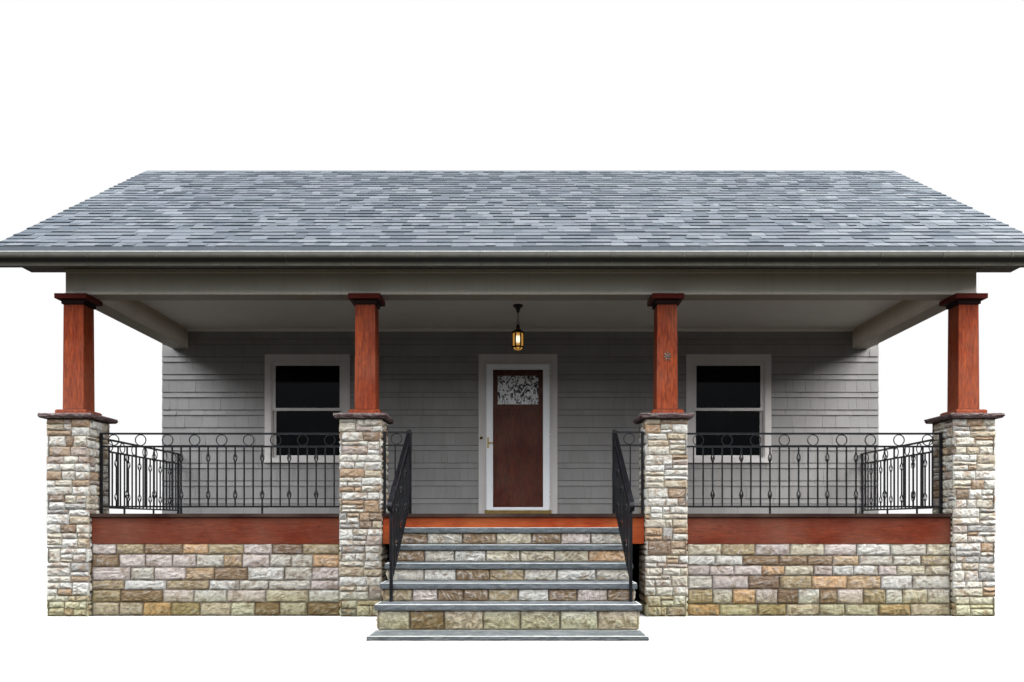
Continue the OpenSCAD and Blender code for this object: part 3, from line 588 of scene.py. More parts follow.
plate_metal = metal_material("pressed plate", (150, 138, 126), (84, 70, 60), 0.45, 0.6)
brass = metal_material("aged brass", (176, 150, 92), (150, 122, 70), 0.36)
lantern_iron = metal_material("lantern bronze", (26, 21, 18), (44, 35, 28), 0.45, 0.3)
iron = iron_material()
shingle = roofing_material()

FINISH = [
    (mortar, ["stair_core", "foundation_front", "foundation_sides", "wall_base", *PIERS]),
    (bluestone, ["stair_treads"]),
    (cap_stone, ["pier_caps"]),
    (deck_wood, ["deck_floor"]),
    (skirt_wood, ["skirt_boards"]),
    (column_wood, COLUMNS),
    (beam_paint, ["front_beam", "side_beams"]),
    (ceiling_paint, ["ceiling"]),
    (soffit_shade_paint, ["soffit"]),
    (trim_paint, ["fascia", "rake_boards"]),
    (gutter_paint, ["gutter"]),
    (shingle, ["roof"]),
    (siding_paint, ["gable_infills", "wall_left", "wall_right", "wall_over_door"]),
    (casing_paint, ["window_left", "window_right", "door_frame"]),
    (dark_pane_material(), ["window_glass"]),
    (brass, ["door_sill"]),
    (storm_paint, ["storm_door"]),
    (clear_pane_material(), ["storm_door_glass"]),
    (door_wood, ["front_door"]),
    (curled_pane_material(), ["front_door_glass"]),
    (iron, [name for name in nodes if name.startswith("railing")]),
    (lantern_iron, ["lantern_frame"]),
    (lamp_glass_material(), ["lantern_glass"]),
]
for material, names in FINISH:
    for name in names:
        nodes[name].data.materials.clear()
        nodes[name].data.materials.append(material)

# Surfaces on grids


def grid_object(name, points, material, tones=None, shade=None, smooth=False):
    """An object made of patches: points has the shape (patches, rows, columns, 3), and each patch becomes a
    grid of quads. The faces look along the cross product of the columns' and the rows' direction. tones gives
    each patch its number, and shade gives each vertex the soot and shadow that gathers there."""
    count, rows, columns = points.shape[:3]
    corner = np.arange(rows - 1)[:, None] * columns + np.arange(columns - 1)[None, :]
    quad = np.stack([corner, corner + 1, corner + columns + 1, corner + columns], axis=-1).reshape(-1, 4)
    quads = (np.arange(count)[:, None, None] * rows * columns + quad[None]).reshape(-1, 4).astype(np.int32)
    mesh = bpy.data.meshes.new(name)
    mesh.vertices.add(count * rows * columns)
    mesh.vertices.foreach_set("co", points.astype(np.float32).ravel())
    mesh.loops.add(quads.size)
    mesh.loops.foreach_set("vertex_index", quads.ravel())
    mesh.polygons.add(len(quads))
    mesh.polygons.foreach_set("loop_start", np.arange(0, quads.size, 4, dtype=np.int32))
    mesh.polygons.foreach_set("use_smooth", np.full(len(quads), smooth))
    for label, values in (("tone", tones), ("shade", shade)):
        if values is not None:
            each = np.repeat(values, count * rows * columns // values.size).astype(np.float32)
            mesh.attributes.new(label, "FLOAT", "POINT").data.foreach_set("value", each)
    mesh.update(calc_edges=True)
    mesh.validate()
    mesh.materials.append(material)
    made = bpy.data.objects.new(name, mesh)
    bpy.context.scene.collection.objects.link(made)
    return made


def mesh_piece(name, points, material, tones=None, shade=None, smooth=False):
    """A piece of the porch, made of patches."""
    piece = grid_object(name, points, material, tones, shade, smooth)
    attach(piece, PORCH)
    return piece


def joined(name, layers, material):
    """One piece of several layers, each of which holds points, shades and tones."""
    points, shades, tones = (np.concatenate(part) for part in zip(*layers))
    return mesh_piece(name, points, material, tones, shades)


class Face:
    """A flat face that pieces are laid on: u runs along it, v up it, and d stands out of it."""

    def __init__(self, origin, along, up=(0.0, 0.0, 1.0)):
        self.origin = np.array(origin, float)
        self.along = np.array(along, float)
        self.up = np.array(up, float)
        self.out = np.cross(self.along, self.up)

    def at(self, u, v, d):
        """Places in the frame of arrays of u, v and d."""
        return self.origin + u[..., None] * self.along + v[..., None] * self.up + d[..., None] * self.out


EAST, WEST, SOUTH, NORTH = (1.0, 0.0, 0.0), (-1.0, 0.0, 0.0), (0.0, -1.0, 0.0), (0.0, 1.0, 0.0)


def sides_of(rects):
    """The four sides u0, u1, v0 and v1 of all rectangles, ready to be set against their grids."""
    return (rects[:, k][:, None, None] for k in range(4))


def block_grid(rects, profile, columns, rows):
    """A profile of (inset, depth) pairs carried round each rectangle (u0, u1, v0, v1), closed by a grid: its
    m-th ring lies at the profile's m-th inset and depth, and the points inside the last one spread evenly."""
    inset, depth = np.array(profile).T
    last = len(profile) - 1

    def spaced(count):
        """The ring that each row or column belongs to, and its share of the way across the grid inside."""
        order = np.minimum(np.arange(count), np.arange(count)[::-1])
        even = np.clip((np.arange(count) - last) / (count - 1 - 2 * last), 0.0, 1.0)
        return np.minimum(order, last), even

    ring_u, even_u = spaced(columns)
    ring_v, even_v = spaced(rows)
    ring = np.minimum(ring_v[:, None], ring_u[None, :])
    u0, u1, v0, v1 = sides_of(rects)
    pull = inset[ring][None]
    u = u0 + pull + even_u[None, None, :] * (u1 - u0 - 2 * pull)
    v = v0 + pull + even_v[None, :, None] * (v1 - v0 - 2 * pull)
    return u, v, np.broadcast_to(depth[ring][None], u.shape).copy(), ring == last


STONE_GRID = (20, 13)
BLOCK_GRID = (34, 20)
CAP_GRID = (56, 56)
TREAD_GRID = (160, 24)
LATTICE = 64
FLAKE_HEIGHTS = [0.0, 0.12, 0.5, 0.88, 1.0]
LATTICE_CORNERS = ((0, 0), (1, 0), (0, 1), (1, 1))


def flakes(across, up, rng, size):
    """Heights from 0 to 1 of flat flakes that meet in ridges: random heights on a lattice of triangles,
    joined by planes. The first axis of the places counts the stones, and each stone turns the lattice and
    takes its own part of it."""
    table = rng.choice(FLAKE_HEIGHTS, (LATTICE, LATTICE))
    shift = rng.uniform(0.0, LATTICE, (2, len(across), 1, 1))
    turn = rng.uniform(0.0, math.pi, (len(across), 1, 1))
    x = (across * np.cos(turn) + up * np.sin(turn)) / size + shift[0]
    y = (up * np.cos(turn) - across * np.sin(turn)) / size + shift[1]
    i, j = np.floor(x).astype(int), np.floor(y).astype(int)
    x, y = x - i, y - j
    near, right, above, far = (table[(i + a) % LATTICE, (j + b) % LATTICE] for a, b in LATTICE_CORNERS)
    lower = near + x * (right - near) + y * (above - near)
    upper = far + (1 - x) * (above - far) + (1 - y) * (right - far)
    return np.where(x + y < 1, lower, upper)


def rough_blocks(
    rects, face, rng, relief, sunk, grid=STONE_GRID, edge=0.004, pitch=0.014, flake=0.03, wander=0.008
):
    """Stones with a split face on the rectangles: sides that go sunk deep, an arris that wanders, and a face
    that climbs from it over the pitch to a crooked crest, d = relief (0.2 + crest + flakes). Returns the
    points, the shade of the joints and hollows, and the tones."""
    foot = relief * 0.22
    u, v, d, inside = block_grid(rects, [(0.0, -sunk), (0.0, relief * 0.1), (edge, foot)], *grid)
    u0, u1, v0, v1 = sides_of(rects)
    rim = np.minimum(np.minimum(u - u0, u1 - u), np.minimum(v - v0, v1 - v))
    rise = np.clip((rim - edge) / pitch, 0.0, 1.0) ** 0.6
    share = (v - v0) / (v1 - v0)
    line = 0.25 + 0.5 * flakes(u, 0.3 * v, rng, 0.05)
    crest = np.minimum(share / line, (1 - share) / (1 - line))
    facets = 1 - np.abs(2 * flakes(u, v, rng, flake * 1.5) - 1)
    carved = 0.65 * facets + 0.35 * flakes(u, v, rng, flake * 0.6)
    bold = rng.uniform(0.16, 0.34, (len(rects), 1, 1))
    proud = relief * rng.uniform(0.75, 0.98, (len(rects), 1, 1))
    lift = rise * (bold * crest + (0.76 - bold) * carved)
    d = np.where(inside[None], foot + proud * lift, d)
    # shade: painted shade, 0.95 in the joints and up to 0.5 in the hollows of the face, and below 0 on the
    # crests, which the material paints paler as a highlight
    shade = np.where(inside[None], 0.5 - 1.8 * lift, np.where(d < 0.0, 0.95, 0.5))
    drift = wander * (d > -sunk / 2)
    along, up = (drift * (flakes(u, v, rng, 0.06) - 0.5) for _ in range(2))
    placed = face.at(u + along, v + up, d)
    placed[..., 2] = np.maximum(placed[..., 2], 0.0)
    return placed, shade, rng.uniform(0.0, 1.0, len(rects))


SHEET_SUNK = 0.004
SHEET_PROFILE = [(0.0, -SHEET_SUNK), (0.0, -0.001), (0.001, 0.0)]


def lapped(rects, face, rng, thick, head, reach):
    """Shingles that lap like scales: each rectangle's foot is its own thickness proud, its head lies head
    proud, and a last row of points reach below the head marks where the next course throws its shadow.
    Returns the points, the shade and the tones."""
    u, v, d, _ = block_grid(rects, SHEET_PROFILE, 6, 7)
    foot, tall = rects[:, 2][:, None], (rects[:, 3] - rects[:, 2])[:, None]
    v[:, 3] = foot + tall * 0.45
    v[:, 4] = np.maximum(foot + tall * 0.5, foot + tall - reach)
    share = (v - foot[..., None]) / tall[..., None]
    lift = thick[:, None, None] + (head - thick[:, None, None]) * np.clip(share, 0.0, 1.0)
    shade = np.zeros(u.shape)
    shade[:, 5:] = 1.0
    shade[:, :2] = 0.5
    placed = face.at(u, v, np.where(d > -SHEET_SUNK, d + lift, d))
    return placed, shade, rng.uniform(0.0, 1.0, len(rects))


def carried(name, line, start, end, material):
    """A line of (y, z) pairs carried along X from start to end."""
    y, z = np.array(line, float).T
    run = np.array([[start], [end]]) + 0.0 * y
    points = np.stack([run, y + 0.0 * run, z + 0.0 * run], axis=-1)
    mesh_piece(name, points[None], material)


def divided(start, end, limits, rng, even=False):
    """Stretches that fill a run, as (start, end) pairs, with sizes between two limits: as many as there would
    be of the middle size if even, or else of a random one."""
    usual = sum(limits) / 2 if even else rng.uniform(*limits)
    sizes = rng.uniform(*limits, max(1, round((end - start) / usual)))
    joints = start + np.concatenate([[0.0], np.cumsum(sizes)]) * (end - start) / sizes.sum()
    return list(zip(joints[:-1], joints[1:]))


def on_side(stretches, side):
    """Stretches along Y for the right side (1), or turned round for the left one (-1), which runs back."""
    return [(a, b) if side > 0 else (-b, -a) for a, b in stretches]


def cut_round(rects, holes):
    """The rectangles less the holes, each split into what is left on the sides, below and above."""
    for h0, h1, g0, g1 in holes:
        left = []
        for u0, u1, v0, v1 in rects:
            if u1 <= h0 or u0 >= h1 or v1 <= g0 or v0 >= g1:
                left.append((u0, u1, v0, v1))
                continue
            a, b = max(u0, h0), min(u1, h1)
            rests = [(u0, h0, v0, v1), (h1, u1, v0, v1), (a, b, v0, g0), (a, b, g1, v1)]
            left += [rest for rest in rests if rest[0] < rest[1] and rest[2] < rest[3]]
        rects = left
    return rects


def wide_enough(rects, least):
    """The rectangles that are wider than least, and higher than the thinnest sliver."""
    return rects[(rects[:, 1] - rects[:, 0] > least) & (rects[:, 3] - rects[:, 2] > 0.008)]


def inset_all(rects, joint):
    """Rectangles drawn in by half a joint, without those that are too small."""
    return wide_enough(np.array(rects, float) + np.array([joint, -joint, joint, -joint]) / 2, 0.012)


# Piers of ledgestone

PIER_RELIEF = 0.032
PIER_SINK = 0.024
PIER_JOINT = 0.002
PIER_BANDS = (0.14, 0.25)
PIER_SEED = 11


def ledges(u0, u1, v0, v1, rng):
    """Ledgestone that fills a rectangle: it is cut across or upright at no set place until its stones are
    small enough."""
    wide, tall = u1 - u0, v1 - v0
    most = rng.uniform(0.18, 0.34)
    if tall > rng.uniform(0.08, 0.165) and (tall * 2.3 > wide or wide < most):
        cut = v0 + tall * rng.uniform(0.3, 0.7)
        return ledges(u0, u1, v0, cut, rng) + ledges(u0, u1, cut, v1, rng)
    if wide > most:
        cut = u0 + wide * rng.uniform(0.3, 0.7)
        return ledges(u0, cut, v0, v1, rng) + ledges(cut, u1, v0, v1, rng)
    return [(u0, u1, v0, v1)]


def pier_stones(node, seed):
    """Ledgestone on the four faces of a pier; the corner stones belong to one face and the next by turns."""
    rng = np.random.default_rng(seed)
    low, high = extent(node)
    foot = (*middle(node)[:2], low[2])
    core = (high - low)[:2] / 2 - PIER_SINK
    height = high[2] - low[2]
    bands = divided(0.0, height, PIER_BANDS, rng, even=True)
    layers = []
    for turn, along in enumerate((EAST, NORTH, WEST, SOUTH)):
        along_half, out_half = core if turn % 2 == 0 else core[::-1]
        face = Face(foot, along)
        face.origin += face.out * out_half
        for index, (v0, v1) in enumerate(bands):
            reach = along_half + (PIER_SINK - 0.004 if (index % 3 > 0) == (turn % 2 == 0) else 0.0)
            rects = inset_all(ledges(-reach, reach, v0, v1, rng), PIER_JOINT)
            layers.append(rough_blocks(rects, face, rng, PIER_RELIEF, 0.008))
    joined(node.replace("pier", "pier_stones"), layers, ledgestone)
    inner = np.array([[-core[0], core[0], -core[1], core[1]]])
    u, v, d, _ = block_grid(inner, [(0.1, 0.0), (0.0, 0.0), (0.0, height), (0.1, height)], 8, 8)
    points = Face(foot, EAST, NORTH).at(u, v, d)
    piece = mesh_piece(node.replace("pier", "pier_core"), points, mortar, np.zeros(1))
    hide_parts(node)


for number, name in enumerate(PIERS):
    pier_stones(name, PIER_SEED + number)

# Caps of the piers, steps and foundation


def worked_slabs(rects, foot, head, profile, chip, rng, grid):
    """Stone slabs seen from above as rectangles: a profile of (inset, share of the height) carried round
    each, with chips struck off the sides. Returns the points and the shade: 0.7 near the foot for painted
    shade under the slab, and -1 on the top's arris, which is painted paler as wear and as a highlight."""
    u, v, d, _ = block_grid(rects, profile, *grid)
    u0, u1, v0, v1 = sides_of(rects)
    side = np.clip(np.minimum(d, 1.02 - d) * 8, 0.0, 1.0)
    struck = chip * side * flakes(u, v + d * 0.2, rng, 0.05)
    rim_u, rim_v = np.minimum(u - u0, u1 - u), np.minimum(v - v0, v1 - v)
    u = u + np.where(rim_u <= rim_v, struck, 0.0) * np.sign(u0 + u1 - 2 * u)
    v = v + np.where(rim_v <= rim_u, struck, 0.0) * np.sign(v0 + v1 - 2 * v)
    # painted highlight and wear: the top's arris is marked -1, which the stone material paints paler
    worn_highlight = np.where((d > 0.9) & (np.minimum(rim_u, rim_v) < 0.0125), -1.0, 0.0)
    grain = 0.0012 * flakes(u, v, rng, 0.06) * (d > 0.98)
    height = foot[:, None, None] + d * (head - foot)[:, None, None] - grain
    # 0.7 near the foot gives painted shade under the slab
    return np.stack([u, v, height], axis=-1), np.where(d < 0.2, 0.7, worn_highlight)


UNDERCUT = [(0.14, 0.0), (0.018, 0.0), (0.012, 0.14), (0.004, 0.34)]
CAP_PROFILE = [*UNDERCUT, (0.0, 0.55), (0.0, 0.8), (0.006, 0.97), (0.02, 1.0)]
CAP_CHIP = 0.011
TREAD_PROFILE = [(0.03, 0.0), (0.002, 0.0), (0.0, 0.12), (0.0, 0.5), (0.0, 0.86), (0.004, 0.97), (0.012, 1.0)]
TREAD_CHIP = 0.004


def cap_slabs():
    """The square caps of the four piers, hollowed under their edge."""
    low, high = extent("pier_caps")
    half, y = (high[1] - low[1]) / 2, (high[1] + low[1]) / 2
    rects = np.array([[x - half, x + half, y - half, y + half] for x in pier_x])
    foot, head = np.full(4, low[2]), np.full(4, high[2])
    points, shade = worked_slabs(rects, foot, head, CAP_PROFILE, CAP_CHIP, np.random.default_rng(5), CAP_GRID)
    piece = mesh_piece("cap_slabs", points, cap_stone, np.array([0.1, 0.6, 0.3, 0.8]), shade)
    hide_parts("pier_caps")


cap_slabs()

TREAD_T = 0.055
NOSING = 0.035
SLAB_TOP = 0.04
RISER_RELIEF = 0.034
RISER_JOINT = 0.003
RISER_LENGTHS = (0.25, 0.33)
CHEEK_LENGTHS = (0.25, 0.36)
core_low, core_high = extent("stair_core")
tread_low, tread_high = extent("stair_treads")
tread_tops = [float(tread_high[2]) - STEP_RISE * k for k in range(5)]
tread_fronts = [float(deck_low[1]) - STEP_RUN * k for k in range(1, 6)]


def step_stones():
    """One course of rock-faced blocks under each tread, on the front and on both sides of the steps."""
    rng = np.random.default_rng(31)
    layers = []

    def lay(stretches, foot, head, face):
        """Adds one course of blocks on a face."""
        rects = inset_all([(a, b, foot, head) for a, b in stretches], RISER_JOINT)
        blocks = rough_blocks(rects, face, rng, RISER_RELIEF, 0.01, BLOCK_GRID, 0.003, 0.01, 0.027, 0.005)
        layers.append(blocks)

    for top, foot, front in zip(tread_tops, tread_tops[1:] + [SLAB_TOP], tread_fronts):
        head = top - TREAD_T
        front_face = Face((0, front + NOSING, 0), EAST)
        lay(divided(core_low[0], core_high[0], RISER_LENGTHS, rng), foot, head, front_face)
        for side, x, along in ((1, core_high[0], NORTH), (-1, core_low[0], SOUTH)):
            stretches = divided(front + NOSING, core_high[1], CHEEK_LENGTHS, rng)
            lay(on_side(stretches, side), foot, head, Face((x, 0, 0), along))
    joined("step_stones", layers, sandstone)


step_stones()


def tread_slabs():
    """The five treads and the slab on the ground, with a snapped edge and an arris painted paler as wear and
    as a highlight.
    """
    fronts = tread_fronts + [tread_low[1]]
    backs = [deck_low[1] + 0.03] + [front + NOSING for front in tread_fronts]
    heads = np.array(tread_tops + [SLAB_TOP])
    feet = np.append(heads[:-1] - TREAD_T, 0.0)
    rects = np.array([[tread_low[0], tread_high[0], front, back] for front, back in zip(fronts, backs)])
    rng = np.random.default_rng(33)
    points, shade = worked_slabs(rects, feet, heads, TREAD_PROFILE, TREAD_CHIP, rng, TREAD_GRID)
    piece = mesh_piece("tread_slabs", points, bluestone, np.linspace(0.05, 0.95, 6), shade)
    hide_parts("stair_treads")


tread_slabs()

COURSE_RELIEF = 0.026
COURSE_JOINT = 0.004
COURSE_HEIGHTS = (0.11, 0.17)
COURSE_LENGTHS = (0.22, 0.38)


def foundation_stones():
    """Coursed stones of the foundation between the piers and on both sides."""
    rng = np.random.default_rng(41)
    front_low, front_high = extent("foundation_front")
    side_low, side_high = extent("foundation_sides")
    front = Face((0, front_low[1], 0), EAST)
    faces = [
        (front, pier_boxes[0][1][0], pier_boxes[1][0][0], front_high[2]),
        (front, pier_boxes[2][1][0], pier_boxes[3][0][0], front_high[2]),
        (Face((side_high[0], 0, 0), NORTH), side_low[1], side_high[1], side_high[2]),
        (Face((side_low[0], 0, 0), SOUTH), -side_high[1], -side_low[1], side_high[2]),
    ]
    layers = []
    for face, start, end, height in faces:
        rects = []
        for v0, v1 in divided(0.0, height, COURSE_HEIGHTS, rng, even=True):
            rects += [(a, b, v0, v1) for a, b in divided(start, end, COURSE_LENGTHS, rng)]
        layers.append(rough_blocks(inset_all(rects, COURSE_JOINT), face, rng, COURSE_RELIEF, 0.006))
    joined("foundation_stones", layers, fieldstone)


foundation_stones()

# Deck boards

BOARD_W = 0.083
BOARD_GROOVE = 0.0016
BOARD_PROUD = 0.0015


def deck_boards():
    """Tongued boards from the house to the front edge, with a hair of a groove between them."""
    count = round((deck_high[0] - deck_low[0]) / BOARD_W)
    left = np.linspace(deck_low[0], deck_high[0], count + 1)
    foot, head = np.full(count, deck_low[1] + 0.001), np.full(count, WALL_Y)
    rects = np.stack([left[:-1] + BOARD_GROOVE / 2, left[1:] - BOARD_GROOVE / 2, foot, head], axis=1)
    u, v, d, _ = block_grid(rects, SHEET_PROFILE, 6, 6)
    points = Face((0, 0, DECK_Z), EAST, NORTH).at(u, v, np.where(d > -SHEET_SUNK, d + BOARD_PROUD, d))
    mesh_piece("deck_boards", points, deck_wood, np.random.default_rng(51).uniform(0, 1, count))


deck_boards()

# Siding

WIDE_COURSE = 0.175
NARROW_COURSE = 0.075
SIDING_BUTT = 0.016
SIDING_HEAD = 0.003
SIDING_SHADOW = 0.012
SIDING_JOINT = 0.0007
SIDING_WIDTHS = (0.11, 0.26)
CASING_LAP = 0.004


def siding_courses(foot, top, spare=0.0):
    """Wide and narrow courses by turns up to the top, as (foot, head) pairs; none starts in the spare."""
    bands = []
    while foot < top - spare:
        head = min(foot + (NARROW_COURSE if len(bands) % 2 else WIDE_COURSE), top)
        bands.append((foot, head))
        foot = head
    return bands


def shingle_row(stretches, foot, head):
    """Rectangles of one course of shingles with an open joint between them."""
    return [(a + SIDING_JOINT, b - SIDING_JOINT, foot, head) for a, b in stretches]


def sided(rects, face, rng):
    """Wood shingles on the rectangles, each of its own thickness."""
    thick = SIDING_BUTT * rng.uniform(0.85, 1.15, len(rects))
    return lapped(rects, face, rng, thick, SIDING_HEAD, SIDING_SHADOW)


def front_siding():
    """Courses of wood shingles on the front wall, with joints at no set spacing, cut round the casings."""
    rng = np.random.default_rng(61)
    rects, holes = [], []
    for foot, head in siding_courses(DECK_Z, CEILING_Z):
        rects += shingle_row(divided(wall_low[0], -wall_low[0], SIDING_WIDTHS, rng), foot, head)
    for node in ("window_left", "window_right", "door_frame"):
        low, high = extent(node)[0] + CASING_LAP, extent(node)[1] - CASING_LAP
        holes.append((low[0], high[0], low[2], high[2]))
    rects = wide_enough(np.array(cut_round(rects, holes)), 0.008)
    joined("siding_shingles", [sided(rects, Face((0, WALL_Y, 0), EAST), rng)], siding_paint)


front_siding()


def gable_siding():
    """Courses on both gable infills, each of which starts where the underside of the roof meets its head."""
    rng = np.random.default_rng(62)
    low, high = extent("gable_infills")
    layers = []
    for side, along in ((1, NORTH), (-1, SOUTH)):
        for foot, head in siding_courses(low[2], high[2], 0.05):
            under_roof = roof_high[1] - (roof_high[2] - ROOF_PLUMB - head) / ROOF_RISE
            start = max(low[1], under_roof + 0.01)
            if WALL_Y - start > 0.1:
                stretches = on_side(divided(start, WALL_Y, SIDING_WIDTHS, rng), side)
                rects = np.array(shingle_row(stretches, foot, head))
                layers.append(sided(rects, Face((side * high[0], 0, 0), along), rng))
    joined("gable_shingles", layers, siding_paint)


gable_siding()

# Roof

EXPOSURE = 0.138
SHINGLE_LOW = 0.011
SHINGLE_HIGH = 0.002
SHINGLE_SHADOW = 0.026
TAB_WIDTHS = (0.09, 0.24)
TAB_LAYERS = [0.3, 0.8, 1.0, 1.25]
EAVE_START = 0.004
RIDGE_FREE = 0.03


def roof_shingles():
    """Courses of laminated shingles up the slope, whose tabs differ in width, thickness and tone."""
    rng = np.random.default_rng(71)
    slope = math.sqrt(1 + ROOF_RISE**2) * (roof_high[1] - roof_low[1])
    rows = int(slope / EXPOSURE)
    step = (slope - RIDGE_FREE) / rows
    rects = []
    for row in range(rows):
        foot, head = row * step + EAVE_START, (row + 1) * step + EAVE_START
        stretches = divided(roof_low[0] + 0.002, roof_high[0] - 0.002, TAB_WIDTHS, rng)
        rects += [(a, b, foot, head) for a, b in stretches]
    rects = np.array(rects)
    eave_z = roof_high[2] - ROOF_RISE * (roof_high[1] - roof_low[1])
    angle = math.atan(ROOF_RISE)
    face = Face((0, roof_low[1], eave_z), EAST, (0.0, math.cos(angle), math.sin(angle)))
    thick = SHINGLE_LOW * rng.choice(TAB_LAYERS, len(rects))
    courses = lapped(rects, face, rng, thick, SHINGLE_HIGH, SHINGLE_SHADOW)
    joined("roof_shingles", [courses], shingle)


roof_shingles()

DRIP_LINE = [(-0.0008, 0.013), (-0.0015, 0.005), (-0.004, 0.002), (-0.004, 0.0008), (0.002, 0.0008)]


def drip_edge():
    """A strip of bare metal along the foot of the roof: a flat line with its lower edge bent out."""
    line = np.array(DRIP_LINE) + [roof_low[1], roof_low[2]]
    carried("drip_edge", line, roof_low[0] + 0.001, roof_high[0] - 0.001, drip_metal)


drip_edge()

# Gutter straps

GUTTER_FOOT = 0.062
GUTTER_LIP = 0.028
STRAP_W = 0.022
STRAP_PROUD = 0.0025
STRAP_STEP = 0.66


def gutter_line(count):
    """The gutter's outside from foot to rim: an S-shaped curve y = front + reach (3 t^2 - 2 t^3), then the
    upright lip."""
    t = np.linspace(1.0, 0.0, count)
    reach = gutter_high[1] - gutter_low[1] - GUTTER_FOOT
    y = gutter_low[1] + reach * t * t * (3 - 2 * t)
    z = gutter_low[2] + (gutter_high[2] - GUTTER_LIP - gutter_low[2]) * (1 - t)
    return np.append(y, gutter_low[1]), np.append(z, gutter_high[2] - 0.001)


def gutter_straps():
    """Narrow bands over the seams, bent round the gutter's front: its outline carried along X, both edges
    turned in."""
    rng = np.random.default_rng(81)
    y, z = gutter_line(12)
    slope_y, slope_z = np.gradient(y), np.gradient(z)
    size = np.hypot(slope_y, slope_z)
    places = np.arange(-5.0, 5.01, STRAP_STEP)
    places = places + rng.uniform(-0.03, 0.03, len(places))
    across = np.array([-0.5, -0.5, 0.5, 0.5]) * STRAP_W
    proud = np.array([-0.001, STRAP_PROUD, STRAP_PROUD, -0.001])
    x = places[:, None, None] + across[None, None, :] + np.zeros((1, len(y), 1))
    line_y = (y[:, None] - (slope_z / size)[:, None] * proud[None, :])[None] + np.zeros_like(x)
    line_z = (z[:, None] + (slope_y / size)[:, None] * proud[None, :])[None] + np.zeros_like(x)
    points = np.stack([x, line_y, line_z], axis=-1)[:, ::-1]
    mesh_piece("gutter_straps", points, gutter_paint, smooth=True)


gutter_straps()

# Small fittings

COVE_OUT = 0.075
COVE_DOWN = 0.03


def ceiling_cove():
    """A hollow moulding where ceiling and wall meet: a quarter circle between two short fillets."""
    y, z = WALL_Y - 0.004, CEILING_Z - 0.0005
    line = [(y - COVE_OUT, z)]
    for turn in np.linspace(0.0, math.pi / 2, 8):
        down = 0.006 + COVE_DOWN * 0.7 * (1 - math.cos(turn))
        line.append((y - COVE_OUT + COVE_OUT * 0.8 * math.sin(turn), z - down))
    line += [(y - 0.012, z - COVE_DOWN), (y, z - COVE_DOWN)]
    start = wall_low[0] + 0.002
    carried("ceiling_cove", line[::-1], start, -start, ceiling_paint)


ceiling_cove()

BASKET_H = 0.1
BASKET_BOW = 0.0215
BASKET_STEP = 0.3
BASKET_HEIGHTS = (0.21, 0.612)
BASKET_SHARES = (0.24, 0.8)
WIRE_R = 0.0034
WIRE_POINTS = 8
WIRE_SIDES = 6
RAIL_TOP = 0.885
NEWEL_Y = FRONT_Y + 0.1
STAIR_FOOT_Y = FRONT_Y - 1.115
STAIR_BARS = 12
BAR_FOOT = 0.7725
BAR_HEAD = 0.155


def basket_places():
    """Middles of the baskets: on each third baluster of a panel, low and high."""
    (_, far_left), (left, left_end), (_, right), (far_right, _) = pier_boxes
    y = (left[1] + left_end[1]) / 2
    runs = [((left[0], y), (far_left[0], y)), ((right[0], y), (far_right[0], y))]
    runs += [((pier_x[k], pier_boxes[k][1][1]), (pier_x[k], WALL_Y)) for k in (0, 3)]
    spots = []
    for start, end in runs:
        start, end = np.array(start), np.array(end)
        count = 3 * round(float(np.linalg.norm(end - start)) / BASKET_STEP)
        for i in range(3, count, 3):
            spots += [(*(start + (end - start) * i / count), DECK_Z + z) for z in BASKET_HEIGHTS]
    for name in ("railing_stair_left", "railing_stair_right"):
        for i in range(3, STAIR_BARS, 3):
            y = STAIR_FOOT_Y + (NEWEL_Y - STAIR_FOOT_Y) * i / STAIR_BARS
            foot = DECK_Z + RAIL_TOP - STEP_RISE / STEP_RUN * (NEWEL_Y - y) - BAR_FOOT
            spots += [(middle(name)[0], y, foot + share * (BAR_FOOT - BAR_HEAD)) for share in BASKET_SHARES]
    return np.array(spots, float)


def basket_wires():
    """Twisted wires between the four of each basket: a wire bows out by r = bow (1 - t^2) and turns by 0.5 t
    about the baluster, while t goes from -1 to 1 up the basket."""
    spots = basket_places()[:, None, None, None, :]
    start = (np.arange(4) * math.pi / 2)[None, :, None, None]
    t = np.linspace(-1.0, 1.0, WIRE_POINTS)[None, None, :, None]
    ring = np.linspace(0.0, 2 * math.pi, WIRE_SIDES + 1)[None, None, None, :]
    turn = start + 0.5 * t
    out = BASKET_BOW * (1 - t * t)
    x = spots[..., 0] + out * np.cos(turn) + WIRE_R * np.cos(ring)
    y = spots[..., 1] + out * np.sin(turn) + WIRE_R * np.sin(ring)
    z = spots[..., 2] + (BASKET_H / 2 - 0.003) * t + 0.0 * x
    points = np.stack([x, y, z], axis=-1).reshape(-1, WIRE_POINTS, WIRE_SIDES + 1, 3)
    mesh_piece("basket_wires", points, iron, smooth=True)


basket_wires()

TURNED_SIDES = 24


def turned(name, profile, centre, material):
    """A profile of (radius, depth) pairs turned about an axis that stands out towards the street."""
    radius, depth = np.array(profile).T[:, :, None]
    angle = np.linspace(0.0, 2 * math.pi, TURNED_SIDES + 1)
    x = centre[0] - radius * np.cos(angle)
    points = np.stack([x, centre[1] - depth + 0.0 * x, centre[2] + radius * np.sin(angle)], axis=-1)
    mesh_piece(name, points[None], material, smooth=True)


LEAF_HALF_W = 0.0072
LEAF_BEND = 0.008
LEAF_LENGTHS = [0.05, 0.042, 0.04, 0.056, 0.056, 0.04, 0.042]
BOSS_PROFILE = [(0.014, -0.001), (0.014, 0.006), (0.010, 0.011), (0.004, 0.013), (0.0, 0.013)]
BELL_RIM = [(0.019, -0.001), (0.019, 0.004), (0.016, 0.007), (0.009, 0.008)]
BELL_PROFILE = [*BELL_RIM, (0.008, 0.0115), (0.004, 0.0135), (0.0, 0.014)]


